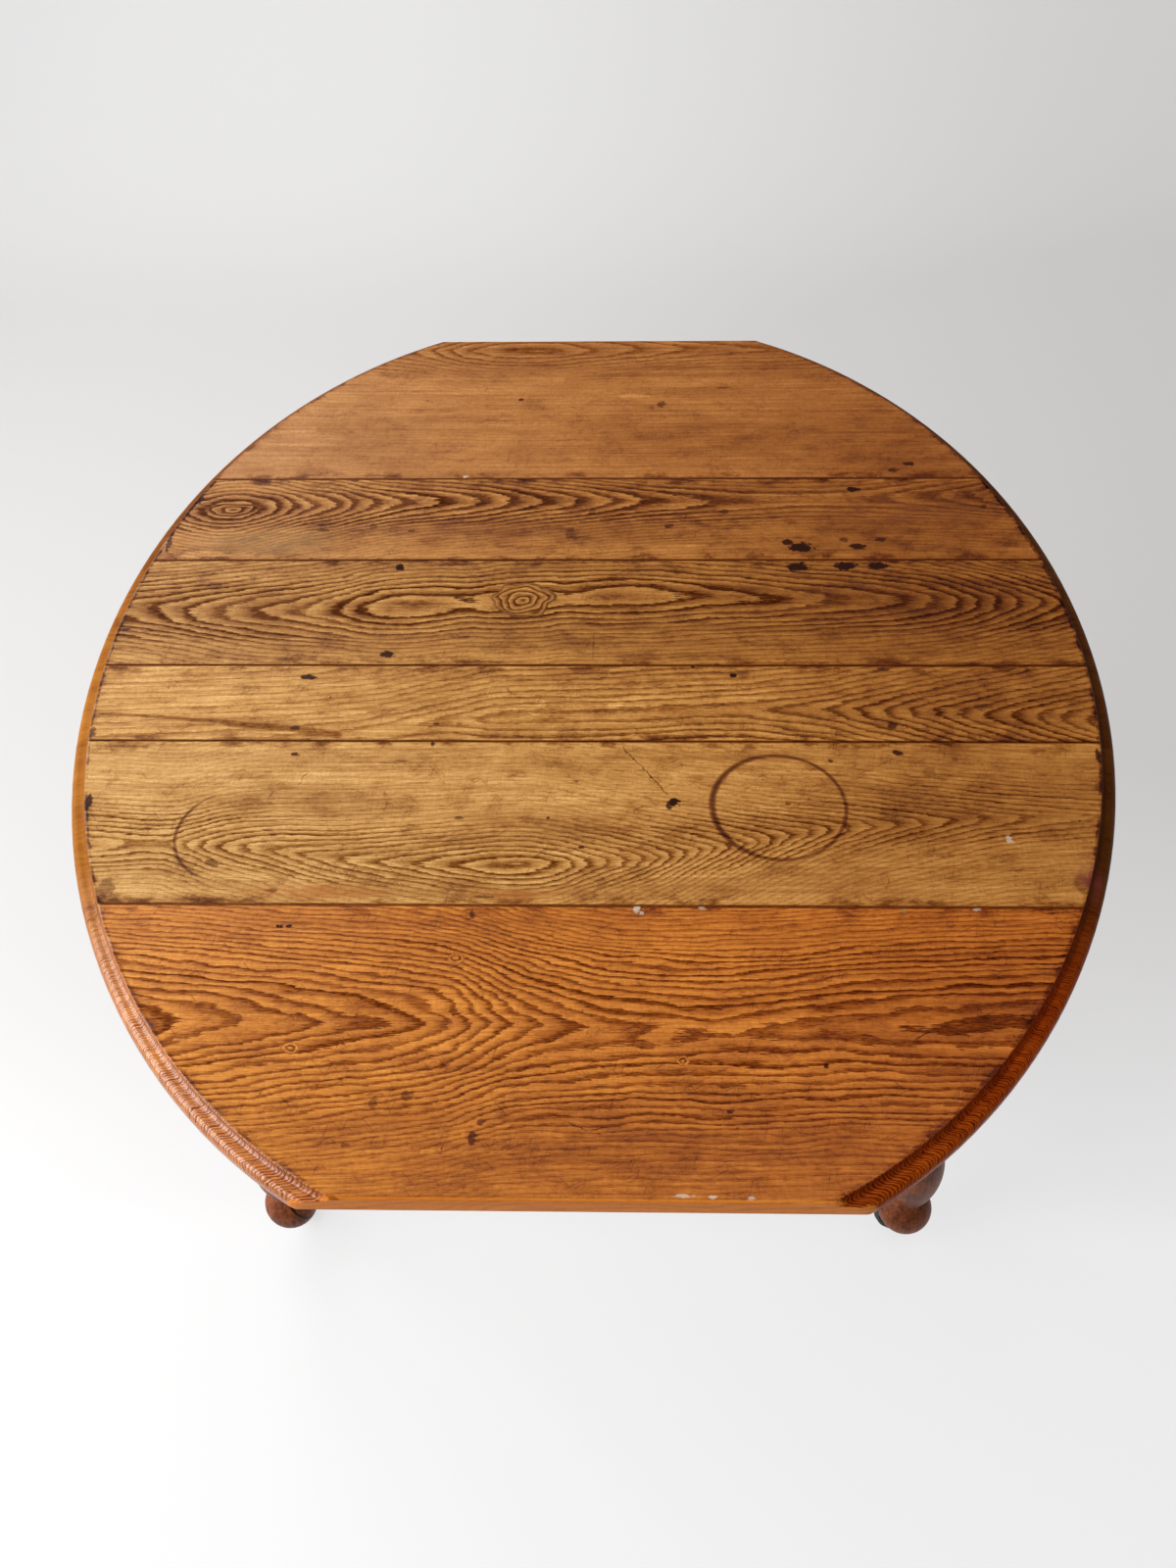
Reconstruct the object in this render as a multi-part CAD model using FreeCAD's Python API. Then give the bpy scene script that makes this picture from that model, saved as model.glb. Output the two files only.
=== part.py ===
import FreeCAD, Part
import math
import os

from FreeCAD import Placement, Rotation, Vector

# Drop-leaf dining table with both leaves raised, in millimetres. +Z is up and the origin is on the
# floor under the middle of the top. The boards run along X. The near leaf is at -Y, the far leaf at +Y.

# Table top: an oval whose two ends are cut straight, with a moulding on the curved rim only
top_height = 745.0
top_thickness = 21.0
rim_half_width = 487.0
rim_half_length = 603.5
end_half_length = 543.0
end_corner_radius = 24.0
end_upper_radius = 4.0
end_lower_radius = 2.0
arris_radius = 1.2
cove_width = 6.5
cove_drop = 5.6
ovolo_width = 8.0
ovolo_drop = 8.7
arris_bands = 3
cove_bands = 6
ovolo_bands = 8
rim_lower_bevel = 1.5

# Boards of the fixed middle, by the places of their glued joints, and the dowels in those joints
seam_distance = 282.0
board_joint_1_2 = 150.5
board_joint_2_3 = -0.5
board_joint_3_4 = -98.0
joint_wear = 0.6
dowel_radius = 5.0
dowel_length = 60.0
dowel_rim_inset = 177.0
dowel_clearance = 0.1

# Rule joint between the fixed middle and each leaf
rule_fillet = 4.0
rule_clearance = 0.5
seam_gap = 0.5

# Drop-leaf hinges, let in flush with the underside
hinge_leg_inset = 101.0
hinge_width = 44.0
hinge_barrel_radius = 4.0
hinge_barrel_clearance = 0.6
hinge_flap_thickness = 2.0
hinge_fixed_flap = 28.0
hinge_leaf_flap = 62.0
hinge_knuckle_gap = 0.25
hinge_centre_knuckle = 19.5
hinge_pin_radius = 2.0
hinge_pin_fixed_clearance = 0.02
hinge_pin_running_clearance = 0.06
hinge_recess_clearance = 0.4
fixed_screw_row = 13.0
fixed_screw_second_row = 22.0
leaf_screw_row = 32.0
leaf_screw_second_row = 53.0
hinge_screw_spread = 28.0

# Countersunk wood screws
screw_shank_radius = 2.0
screw_head_radius = 3.8
screw_head_height = 1.8
screw_slot_width = 0.8
screw_slot_depth = 0.7
screw_clearance = 0.1
hinge_screw_length = 15.0
screw_grip = 13.0

# Legs, turned from square stock
leg_rim_overhang = 86.0
leg_seam_gap = 6.0
leg_square = 62.0
leg_square_height = 128.0
leg_square_bevel = 6.0
foot_flat_radius = 17.0
ball_radius = 31.5
ball_height = 55.0
ball_neck_radius = 18.0
ball_neck_hollow = 1.5
ball_neck_height = 8.0
vase_radius = 28.5
vase_belly = 58.0
vase_height = 128.0
waist_radius = 18.0
bead_radius = 24.0
bead_height = 13.0
upper_bead_radius = 26.0
baluster_radius = 28.5
baluster_belly_below_top = 105.0
collar_radius = 20.0
collar_height = 16.0
collar_hollow = 2.5
ring_radius = 29.0
ring_height = 14.0

# Aprons, tenoned and pegged into the legs
apron_height = 92.0
apron_thickness = 20.0
apron_setback = 3.0
tenon_length = 32.0
tenon_thickness = 9.0
tenon_shoulder = 12.0
tenon_clearance = 0.1
tenon_peg_radius = 4.0
tenon_peg_length = 30.0
tenon_peg_spacing = 36.0
tenon_peg_clearance = 0.05

# Corner blocks that tie the aprons together and hold the top down
corner_block_reach = 110.0
corner_block_height = 45.0
corner_block_clearance = 0.5
corner_screw_from_face = 40.0
corner_screw_head_inset = 22.0
corner_screw_access_radius = 4.6

# Buttons that hold the top to the end aprons and still let it shrink
button_y = 75.0
button_depth = 34.0
button_width = 36.0
button_height = 24.0
button_tongue_length = 9.0
button_tongue_height = 8.0
button_tongue_below_top = 14.0
button_clearance = 0.5

# Pull-out slides that carry the raised leaves, pushed in
slide_block_gap = 13.0
slide_stagger = 60.0
slide_width = 30.0
slide_height = 34.0
slide_length = 400.0
slide_travel = 185.0
slide_top_clearance = 0.4
slide_side_clearance = 0.6
slide_end_bevel = 3.0
stop_peg_radius = 5.0
stop_peg_drop = 22.0
stop_peg_clearance = 0.05
stop_clearance = 0.5

# Keepers that guide the slides under the top
keeper_from_apron_face = 150.0
keeper_length = 30.0
keeper_wall = 13.0
keeper_floor = 13.0

# Casters
caster_height = 41.0
caster_trail = 17.0
wheel_radius = 15.0
wheel_width = 13.0
wheel_edge_radius = 2.5
wheel_hub_radius = 6.0
wheel_hub_height = 0.4
axle_radius = 2.5
axle_head_radius = 4.0
axle_head_height = 1.2
axle_fixed_clearance = 0.02
axle_running_clearance = 0.06
cheek_gap = 0.7
cheek_thickness = 3.0
cheek_eye_radius = 6.5
cheek_root = 20.0
fork_cap_radius = 14.5
fork_cap_height = 4.0
fork_gap = 0.3
stem_radius = 5.0
stem_length = 34.0
stem_clearance = 0.06
sleeve_radius = 7.0
sleeve_length = 38.0
sleeve_flange_radius = 15.0
sleeve_flange_height = 1.5
sleeve_clearance = 0.05

# The way each caster trails at rest, in degrees from +X
caster_angle = {"near_left": 70.0, "near_right": 140.0, "far_left": 35.0, "far_right": 120.0}

# Sizes that follow from the ones above
underside = top_height - top_thickness
rule_radius = top_thickness - rule_fillet
leg_outer_x = rim_half_width - leg_rim_overhang
leg_outer_y = seam_distance - leg_seam_gap
leg_x = leg_outer_x - leg_square / 2
leg_y = leg_outer_y - leg_square / 2
long_apron_outer = leg_outer_y - apron_setback
long_apron_inner = long_apron_outer - apron_thickness
end_apron_outer = leg_outer_x - apron_setback
end_apron_inner = end_apron_outer - apron_thickness
tenon_inset = apron_setback + (apron_thickness - tenon_thickness) / 2
apron_bottom = underside - apron_height
slide_top = underside - slide_top_clearance
slide_bottom = slide_top - slide_height
board_joints = (board_joint_1_2, board_joint_2_3, board_joint_3_4)
dowel_spacing = rim_half_width - dowel_rim_inset
hinge_x = leg_outer_x - hinge_leg_inset
slide_wide_x = end_apron_inner - corner_block_reach - slide_block_gap - slide_width / 2
slide_close_x = slide_wide_x - slide_stagger
side_y = {"near": -1, "far": 1}
side_x = {"left": -1, "right": 1}
slide_x = {
    "near_left": -slide_wide_x,
    "near_right": slide_close_x,
    "far_left": -slide_close_x,
    "far_right": slide_wide_x,
}

# How far a cutting shape reaches past the wood that it cuts
beyond = 40.0


def block(xs, ys, zs):
    """A box between two values on each axis, in either order."""
    low = Vector(min(xs), min(ys), min(zs))
    return Part.makeBox(abs(xs[1] - xs[0]), abs(ys[1] - ys[0]), abs(zs[1] - zs[0]), low)


def rod(radius, start, end):
    """A round bar between two points."""
    along = end - start
    return Part.makeCylinder(radius, along.Length, start, along)


def between(middle, width):
    """The two ends of a span centred on a place."""
    return (middle - width / 2, middle + width / 2)


def screw(head, point, length, clearance=0.0):
    """A countersunk screw whose flat head is at head, pointing towards point, or the hole for it."""
    aim = (point - head).normalize()
    head_radius = screw_head_radius + clearance
    shank_radius = screw_shank_radius + clearance
    cone = Part.makeCone(head_radius, shank_radius, screw_head_height, head, aim)
    solid = cone.fuse(Part.makeCylinder(shank_radius, length + clearance, head, aim)).removeSplitter()
    if clearance:
        return solid
    slot = Part.makeBox(2 * head_radius, screw_slot_width, screw_slot_depth)
    slot.translate(Vector(-head_radius, -screw_slot_width / 2, 0))
    slot.Placement = Placement(head, Rotation(Vector(0, 0, 1), aim)).multiply(slot.Placement)
    return solid.cut(slot)


def quarter_turn(bands, backwards=False):
    """The angles that divide a right angle into equal bands."""
    angles = [math.pi / 2 * band / bands for band in range(bands + 1)]
    return angles[::-1] if backwards else angles


def rim_oval(inset, height):
    """The oval at one height of the rim, set in from its widest line."""
    length_end = Vector(0, rim_half_length - inset, height)
    width_end = Vector(rim_half_width - inset, 0, height)
    return Part.Wire(Part.Ellipse(length_end, width_end, Vector(0, 0, height)).toShape())


def oval_blank():
    """The whole oval before it is cut into boards, with its moulding from the plain edge up to the arris."""
    levels = [(rim_lower_bevel, underside), (0, underside + rim_lower_bevel)]
    for angle in quarter_turn(ovolo_bands, True):
        drop = arris_radius + cove_drop + ovolo_drop * (1 - math.cos(angle))
        levels.append((ovolo_width * (1 - math.sin(angle)), top_height - drop))
    for angle in quarter_turn(cove_bands, True)[1:]:
        drop = arris_radius + cove_drop * math.sin(angle)
        levels.append((ovolo_width + cove_width * math.cos(angle), top_height - drop))
    for angle in quarter_turn(arris_bands)[1:]:
        inset = ovolo_width + cove_width + arris_radius * (1 - math.cos(angle))
        levels.append((inset, top_height - arris_radius * (1 - math.sin(angle))))
    return Part.makeLoft([rim_oval(inset, height) for inset, height in levels], True, True)


def corner_round():
    """Where the round of each cut corner meets the rim and the straight end, in plan.

    Returns the touching points on the rim and on the end, and the middle of the round, at +X and +Y.
    """
    low, high = 0.0, math.pi / 2
    for _ in range(60):
        angle = (low + high) / 2
        rim = Vector(rim_half_width * math.cos(angle), rim_half_length * math.sin(angle), 0)
        out = Vector(math.cos(angle) / rim_half_width, math.sin(angle) / rim_half_length, 0).normalize()
        centre = rim - out * end_corner_radius
        if centre.y < end_half_length - end_corner_radius:
            low = angle
        else:
            high = angle
    return rim, Vector(centre.x, end_half_length, 0), centre


def end_plan(side):
    """A tall prism that rounds the two corners of one straight end."""
    rim, end, centre = corner_round()
    middle = centre + (rim + end - centre * 2).normalize() * end_corner_radius
    wide = rim_half_width + beyond
    edges = []
    for x in (1, -1):
        at = [Vector(x * p.x, side * p.y, underside) for p in (rim, middle, end)]
        edges.append(Part.Arc(*at).toShape())
        edges.append(Part.makeLine(at[0], Vector(x * wide, at[0].y, underside)))
        edges.append(Part.makeLine(Vector(x * wide, at[0].y, underside), Vector(x * wide, 0, underside)))
    straight = [Vector(x * end.x, side * end.y, underside) for x in (1, -1)]
    edges.append(Part.makeLine(*straight))
    edges.append(Part.makeLine(Vector(wide, 0, underside), Vector(-wide, 0, underside)))
    outline = Part.Wire(Part.__sortEdges__(edges))
    return Part.Face(outline).extrude(Vector(0, 0, top_thickness))


def run_along_boards(edges):
    """A bar along X, across the whole top, with the section drawn by the edges."""
    outline = Part.Wire(Part.__sortEdges__(edges))
    start = Part.Face(outline)
    start.translate(Vector(-rim_half_width - beyond, 0, 0))
    return start.extrude(Vector(2 * (rim_half_width + beyond), 0, 0))


def rule_arc(side, radius, upper):
    """The quarter-round of the rule joint about the hinge pin, from the upper point to the underside."""
    pin = Vector(0, side * seam_distance, underside)
    start = math.acos((upper.y - pin.y) * side / radius)
    turned = Vector(0, side * radius * math.cos(start / 2), radius * math.sin(start / 2))
    lower = pin + Vector(0, side * radius, 0)
    return Part.Arc(upper, pin + turned, lower).toShape(), lower


def middle_section(side, joint):
    """The bar of one outer board of the fixed middle, from a glued joint to the rule joint."""
    seam = side * seam_distance
    upper = Vector(0, seam, underside + rule_radius)
    arc, lower = rule_arc(side, rule_radius, upper)
    glued = [Vector(0, joint, underside), Vector(0, joint, top_height)]
    points = [lower] + glued + [Vector(0, seam, top_height), upper]
    lines = [Part.makeLine(a, b) for a, b in zip(points, points[1:])]
    return run_along_boards(lines + [arc])


def leaf_section(side):
    """The bar of one leaf, from its hollow at the rule joint to its rounded straight end."""
    hollow = rule_radius + rule_clearance
    edge = side * (seam_distance + seam_gap)
    upper = Vector(0, edge, underside + math.sqrt(hollow ** 2 - seam_gap ** 2))
    arc, lower = rule_arc(side, hollow, upper)
    end = side * end_half_length
    halfway = 1 - math.sqrt(0.5)
    upper_cut = end_upper_radius * halfway
    lower_cut = end_lower_radius * halfway
    top_round = [
        Vector(0, end - side * end_upper_radius, top_height),
        Vector(0, end - side * upper_cut, top_height - upper_cut),
        Vector(0, end, top_height - end_upper_radius),
    ]
    low_round = [
        Vector(0, end, underside + end_lower_radius),
        Vector(0, end - side * lower_cut, underside + lower_cut),
        Vector(0, end - side * end_lower_radius, underside),
    ]
    lines = [
        Part.makeLine(upper, Vector(0, edge, top_height)),
        Part.makeLine(Vector(0, edge, top_height), top_round[0]),
        Part.makeLine(top_round[2], low_round[0]),
        Part.makeLine(low_round[2], lower),
    ]
    rounds = [Part.Arc(*top_round).toShape(), Part.Arc(*low_round).toShape()]
    return run_along_boards(lines + rounds + [arc])


def dowel_places():
    """The middle of every dowel in the three glued joints."""
    height = underside + top_thickness / 2
    return [Vector(x, y, height) for y in board_joints for x in (-dowel_spacing, 0, dowel_spacing)]


def dowel(place, clearance=0.0):
    """One dowel across a glued joint, or the hole for it."""
    half = Vector(0, dowel_length / 2 + clearance, 0)
    return rod(dowel_radius + clearance, place - half, place + half)


def hinge_flap_plate(x, side, start, end, clearance=0.0):
    """The flat of a hinge flap between two distances from the pin, or the recess for it."""
    ys = (side * (seam_distance + start), side * (seam_distance + end))
    zs = (underside, underside + hinge_flap_thickness + clearance)
    return block(between(x, hinge_width + 2 * clearance), ys, zs)


def hinge_knuckle(x, side, width, reach, bore):
    """A knuckle on the pin, with the tongue of plate that joins it to its flap."""
    seam = side * seam_distance
    ends = between(x, width)
    barrel = rod(hinge_barrel_radius, Vector(ends[0], seam, underside), Vector(ends[1], seam, underside))
    tongue = block(ends, (seam, seam + reach), (underside, underside + hinge_flap_thickness))
    hole = rod(bore, Vector(ends[0], seam, underside), Vector(ends[1], seam, underside))
    return barrel.fuse(tongue).cut(hole)


def fixed_screw_heads(x, side):
    """The screws that hold a hinge to the fixed middle."""
    rows = [(across, fixed_screw_row) for across in between(0, hinge_screw_spread)]
    rows.append((0, fixed_screw_second_row))
    return [Vector(x + across, side * (seam_distance - inward), underside) for across, inward in rows]


def leaf_screw_heads(x, side):
    """The screws that hold a hinge to its leaf."""
    outs = (leaf_screw_row, leaf_screw_second_row)
    rows = [(across, out) for across in between(0, hinge_screw_spread) for out in outs]
    return [Vector(x + across, side * (seam_distance + out), underside) for across, out in rows]


def hinge_screw(head, clearance=0.0):
    """A hinge screw driven up from the underside, or the hole for it."""
    return screw(head, head + Vector(0, 0, 1), hinge_screw_length, clearance)


def fixed_flap(x, side):
    """The short flap, with the two outer knuckles."""
    start = hinge_barrel_radius + hinge_barrel_clearance
    flap = hinge_flap_plate(x, side, -start, -hinge_fixed_flap)
    width = (hinge_width - hinge_centre_knuckle) / 2 - hinge_knuckle_gap
    bore = hinge_pin_radius + hinge_pin_fixed_clearance
    for way in (-1, 1):
        at = x + way * (hinge_width - width) / 2
        flap = flap.fuse(hinge_knuckle(at, side, width, -side * start, bore))
    for head in fixed_screw_heads(x, side):
        flap = flap.cut(hinge_screw(head, screw_clearance))
    return flap.removeSplitter()


def leaf_flap(x, side):
    """The long flap, with the middle knuckle."""
    start = hinge_barrel_radius + hinge_barrel_clearance
    flap = hinge_flap_plate(x, side, start, hinge_leaf_flap)
    bore = hinge_pin_radius + hinge_pin_running_clearance
    flap = flap.fuse(hinge_knuckle(x, side, hinge_centre_knuckle, side * start, bore))
    for head in leaf_screw_heads(x, side):
        flap = flap.cut(hinge_screw(head, screw_clearance))
    return flap.removeSplitter()


def hinge_pin(x, side):
    """The pin through a hinge's knuckles."""
    ends = between(x, hinge_width)
    seam = side * seam_distance
    return rod(hinge_pin_radius, Vector(ends[0], seam, underside), Vector(ends[1], seam, underside))


def hinge_recess(x, side, start, end):
    """The wood taken out for a hinge, between two distances from the pin, with the groove for its barrel."""
    recess = hinge_flap_plate(x, side, start, end, hinge_recess_clearance)
    ends = between(x, hinge_width + 2 * hinge_recess_clearance)
    seam = side * seam_distance
    radius = hinge_barrel_radius + hinge_barrel_clearance
    return recess.fuse(rod(radius, Vector(ends[0], seam, underside), Vector(ends[1], seam, underside)))


def hinge_places():
    """Where the hinges are along the seams."""
    return {"left": -hinge_x, "right": hinge_x}


def outer_board(blank, side, joint):
    """A board beside a seam, with its half of the rule joint and the hinges let in."""
    board = blank.common(middle_section(side, joint))
    inner_end = -hinge_fixed_flap - hinge_recess_clearance
    for x in hinge_places().values():
        board = board.cut(hinge_recess(x, side, rule_radius + beyond, inner_end))
        for head in fixed_screw_heads(x, side):
            board = board.cut(hinge_screw(head, screw_clearance))
    return board


def leaf(blank, side):
    """A leaf: one wide board with the hollow of the rule joint and a straight outer end."""
    board = blank.common(leaf_section(side)).common(end_plan(side))
    for x in hinge_places().values():
        board = board.cut(hinge_recess(x, side, 0, hinge_leaf_flap + hinge_recess_clearance))
        for head in leaf_screw_heads(x, side):
            board = board.cut(hinge_screw(head, screw_clearance))
    return board


def joint_groove(joint):
    """The shallow V that wear has opened along a glued joint."""
    corners = [
        Vector(0, joint - joint_wear, top_height),
        Vector(0, joint, top_height - joint_wear),
        Vector(0, joint + joint_wear, top_height),
    ]
    return run_along_boards(Part.makePolygon(corners + corners[:1]).Edges)


def inner_board(blank, first, second):
    """A board between two glued joints."""
    wide = (-rim_half_width - beyond, rim_half_width + beyond)
    return blank.common(block(wide, (first, second), (underside, top_height)))


def bead(radius, start, height, swell):
    """A half-round bead on a turning, as an edge from its lower to its upper end."""
    middle = Vector(swell, 0, start + height / 2)
    return Part.Arc(Vector(radius, 0, start), middle, Vector(radius, 0, start + height)).toShape()


def swelling(lower, belly, upper):
    """A smooth swelling of a turning through three points."""
    curve = Part.BSplineCurve()
    curve.interpolate([lower, belly, upper])
    return curve.toShape()


def turning():
    """The turned part of a leg: ball foot, vase, two beads, long baluster, bead, collar and ring."""
    ball_top = caster_height + ball_height
    vase_start = ball_top + ball_neck_height
    bead_start = vase_start + vase_height
    baluster_start = bead_start + 2 * bead_height
    square_start = underside - leg_square_height
    ring_start = square_start - ring_height
    collar_start = ring_start - collar_height
    upper_bead = collar_start - bead_height
    belly = Vector(baluster_radius, 0, upper_bead - baluster_belly_below_top)
    ball = Part.Arc(
        Vector(foot_flat_radius, 0, caster_height),
        Vector(ball_radius, 0, caster_height + ball_height / 2),
        Vector(ball_neck_radius, 0, ball_top),
    )
    edges = [
        Part.makeLine(Vector(0, 0, caster_height), Vector(foot_flat_radius, 0, caster_height)),
        ball.toShape(),
        bead(ball_neck_radius, ball_top, ball_neck_height, ball_neck_radius - ball_neck_hollow),
        swelling(
            Vector(ball_neck_radius, 0, vase_start),
            Vector(vase_radius, 0, vase_start + vase_belly),
            Vector(waist_radius, 0, bead_start),
        ),
        bead(waist_radius, bead_start, bead_height, bead_radius),
        bead(waist_radius, bead_start + bead_height, bead_height, bead_radius),
        swelling(Vector(waist_radius, 0, baluster_start), belly, Vector(collar_radius, 0, upper_bead)),
        bead(collar_radius, upper_bead, bead_height, upper_bead_radius),
        bead(collar_radius, collar_start, collar_height, collar_radius - collar_hollow),
        bead(collar_radius, ring_start, ring_height, ring_radius),
        Part.makeLine(Vector(collar_radius, 0, square_start), Vector(0, 0, square_start)),
        Part.makeLine(Vector(0, 0, square_start), Vector(0, 0, caster_height)),
    ]
    outline = Part.Wire(Part.__sortEdges__(edges))
    return Part.Face(outline).revolve(Vector(0, 0, 0), Vector(0, 0, 1), 360)


def leg_stock():
    """The square of a leg, with the corners of its lower end turned off in a cone."""
    start = underside - leg_square_height
    square = block(between(0, leg_square), between(0, leg_square), (start, underside))
    corner = leg_square / 2 * math.sqrt(2) + leg_square_bevel
    low_radius = leg_square / 2 + leg_square_bevel
    cone = Part.makeCone(low_radius, corner, corner - low_radius, Vector(0, 0, start))
    rest = Part.makeCylinder(corner, leg_square_height, Vector(0, 0, start + corner - low_radius))
    return square.common(cone.fuse(rest))


def tenon_span(height_clearance):
    """The height of a tenon, or of its mortise."""
    low = apron_bottom + tenon_shoulder - height_clearance
    return (low, underside - tenon_shoulder + height_clearance)


def tenon_along_x(way_x, way_y, clearance=0.0):
    """A tenon of a long apron, or the mortise for it."""
    start = way_x * (leg_x - leg_square / 2)
    middle = way_y * (leg_outer_y - tenon_inset - tenon_thickness / 2)
    ends = (start, start + way_x * (tenon_length + clearance))
    return block(ends, between(middle, tenon_thickness + 2 * clearance), tenon_span(clearance))


def tenon_along_y(way_x, way_y, clearance=0.0):
    """A tenon of an end apron, or the mortise for it."""
    start = way_y * (leg_y - leg_square / 2)
    middle = way_x * (leg_outer_x - tenon_inset - tenon_thickness / 2)
    ends = (start, start + way_y * (tenon_length + clearance))
    return block(between(middle, tenon_thickness + 2 * clearance), ends, tenon_span(clearance))


def tenon_pegs(way_x, way_y, clearance=0.0):
    """The pegs through the two tenons in one leg, or the holes for them."""
    pegs = []
    middle = apron_bottom + apron_height / 2
    for height in between(middle, tenon_peg_spacing):
        x = way_x * (leg_x - leg_square / 2 + tenon_length / 2)
        y = way_y * (leg_y - leg_square / 2 + tenon_length / 2)
        face_y = Vector(x, way_y * leg_outer_y, height)
        face_x = Vector(way_x * leg_outer_x, y, height)
        inward_y = Vector(0, -way_y * (tenon_peg_length + clearance), 0)
        inward_x = Vector(-way_x * (tenon_peg_length + clearance), 0, 0)
        pegs.append(rod(tenon_peg_radius + clearance, face_y, face_y + inward_y))
        pegs.append(rod(tenon_peg_radius + clearance, face_x, face_x + inward_x))
    return pegs


def leg(way_x, way_y):
    """One leg, with its mortises, peg holes and the bore for the caster's sleeve."""
    solid = turning().fuse(leg_stock())
    solid.translate(Vector(way_x * leg_x, way_y * leg_y, 0))
    cuts = [tenon_along_x(way_x, way_y, tenon_clearance), tenon_along_y(way_x, way_y, tenon_clearance)]
    cuts += tenon_pegs(way_x, way_y, tenon_peg_clearance)
    foot = Vector(way_x * leg_x, way_y * leg_y, caster_height)
    deep = Vector(0, 0, sleeve_length + sleeve_clearance)
    cuts.append(rod(sleeve_radius + sleeve_clearance, foot, foot + deep))
    return solid.cut(cuts).removeSplitter()


def long_apron(side):
    """An apron under a seam, with a notch in its upper edge for each slide."""
    half = leg_x - leg_square / 2
    faces = (side * long_apron_inner, side * long_apron_outer)
    solid = block((-half, half), faces, (apron_bottom, underside))
    solid = solid.fuse([tenon_along_x(-1, side), tenon_along_x(1, side)]).removeSplitter()
    cuts = tenon_pegs(-1, side, tenon_peg_clearance) + tenon_pegs(1, side, tenon_peg_clearance)
    for name, x in slide_x.items():
        if side_y[name.split("_")[0]] == side:
            notch = (slide_bottom - slide_side_clearance, underside)
            cuts.append(block(between(x, slide_width + 2 * slide_side_clearance), faces, notch))
    for way_x in (-1, 1):
        cuts.append(corner_screw_y(way_x, side, screw_clearance))
    return solid.cut(cuts)


def end_apron(way_x):
    """An apron across an end of the frame, with a slot for the tongue of each button."""
    half = leg_y - leg_square / 2
    faces = (way_x * end_apron_inner, way_x * end_apron_outer)
    solid = block(faces, (-half, half), (apron_bottom, underside))
    solid = solid.fuse([tenon_along_y(way_x, -1), tenon_along_y(way_x, 1)]).removeSplitter()
    cuts = []
    for way_y in (-1, 1):
        cuts += tenon_pegs(way_x, way_y, tenon_peg_clearance)
        cuts.append(corner_screw_x(way_x, way_y, screw_clearance))
        cuts.append(button_tongue(way_x, way_y, button_clearance))
    return solid.cut(cuts)


def corner_screw_x(way_x, way_y, clearance=0.0):
    """The screw from a corner block into an end apron, or the hole for it."""
    y = way_y * (leg_y - leg_square / 2 - corner_screw_from_face)
    face = way_x * end_apron_inner
    head = Vector(face - way_x * corner_screw_head_inset, y, underside - corner_block_height / 2)
    return screw(head, head + Vector(way_x, 0, 0), corner_screw_head_inset + screw_grip, clearance)


def corner_screw_y(way_x, way_y, clearance=0.0):
    """The screw from a corner block into a long apron, or the hole for it."""
    x = way_x * (leg_x - leg_square / 2 - corner_screw_from_face)
    face = way_y * long_apron_inner
    head = Vector(x, face - way_y * corner_screw_head_inset, underside - corner_block_height / 2)
    return screw(head, head + Vector(0, way_y, 0), corner_screw_head_inset + screw_grip, clearance)


def corner_screw_up(way_x, way_y, clearance=0.0):
    """The screw from a corner block up into the top, or the hole for it."""
    hypotenuse = end_apron_inner + long_apron_inner - corner_block_reach
    leg_corner = leg_x + leg_y - leg_square
    inward = (leg_corner - hypotenuse) / 4
    x = leg_x - leg_square / 2 - inward
    y = leg_y - leg_square / 2 - inward
    head = Vector(way_x * x, way_y * y, underside - corner_block_height)
    return screw(head, head + Vector(0, 0, 1), corner_block_height + screw_grip, clearance)


def corner_block(way_x, way_y):
    """A three-cornered block behind a leg, cut back round the leg's square."""
    inner_x = way_x * end_apron_inner
    inner_y = way_y * long_apron_inner
    low = underside - corner_block_height
    points = [
        Vector(inner_x, inner_y, low),
        Vector(inner_x - way_x * corner_block_reach, inner_y, low),
        Vector(inner_x, inner_y - way_y * corner_block_reach, low),
    ]
    solid = Part.Face(Part.makePolygon(points + points[:1])).extrude(Vector(0, 0, corner_block_height))
    room = leg_square + 2 * corner_block_clearance
    cuts = [block(between(way_x * leg_x, room), between(way_y * leg_y, room), (low, underside))]
    drives = [corner_screw_x, corner_screw_y]
    aims = [Vector(way_x, 0, 0), Vector(0, way_y, 0)]
    for drive, aim in zip(drives, aims):
        hole = drive(way_x, way_y, screw_clearance)
        head = hole.BoundBox.Center - aim * (corner_screw_head_inset + screw_grip + screw_clearance) / 2
        cuts.append(hole)
        cuts.append(rod(corner_screw_access_radius, head - aim * corner_block_reach, head))
    cuts.append(corner_screw_up(way_x, way_y, screw_clearance))
    return solid.cut(cuts)


def button_tongue(way_x, way_y, clearance=0.0):
    """The tongue of a button, or the slot for it in an end apron."""
    face = way_x * end_apron_inner
    ends = (face - way_x * button_clearance, face + way_x * (button_tongue_length + clearance))
    high = underside - button_tongue_below_top
    heights = (high - button_tongue_height - clearance, high + clearance)
    return block(ends, between(way_y * button_y, button_width + 2 * clearance), heights)


def button_screw(way_x, way_y, clearance=0.0):
    """The screw from a button up into the top, or the hole for it."""
    x = way_x * (end_apron_inner - button_depth / 2)
    head = Vector(x, way_y * button_y, underside - button_height)
    return screw(head, head + Vector(0, 0, 1), button_height + screw_grip, clearance)


def button(way_x, way_y):
    """A button: a small block screwed under the top, with its tongue in an end apron."""
    face = way_x * (end_apron_inner - button_clearance)
    body = block((face - way_x * button_depth, face), between(way_y * button_y, button_width),
                 (underside - button_height, underside))
    solid = body.fuse(button_tongue(way_x, way_y)).removeSplitter()
    return solid.cut(button_screw(way_x, way_y, screw_clearance))


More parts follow.
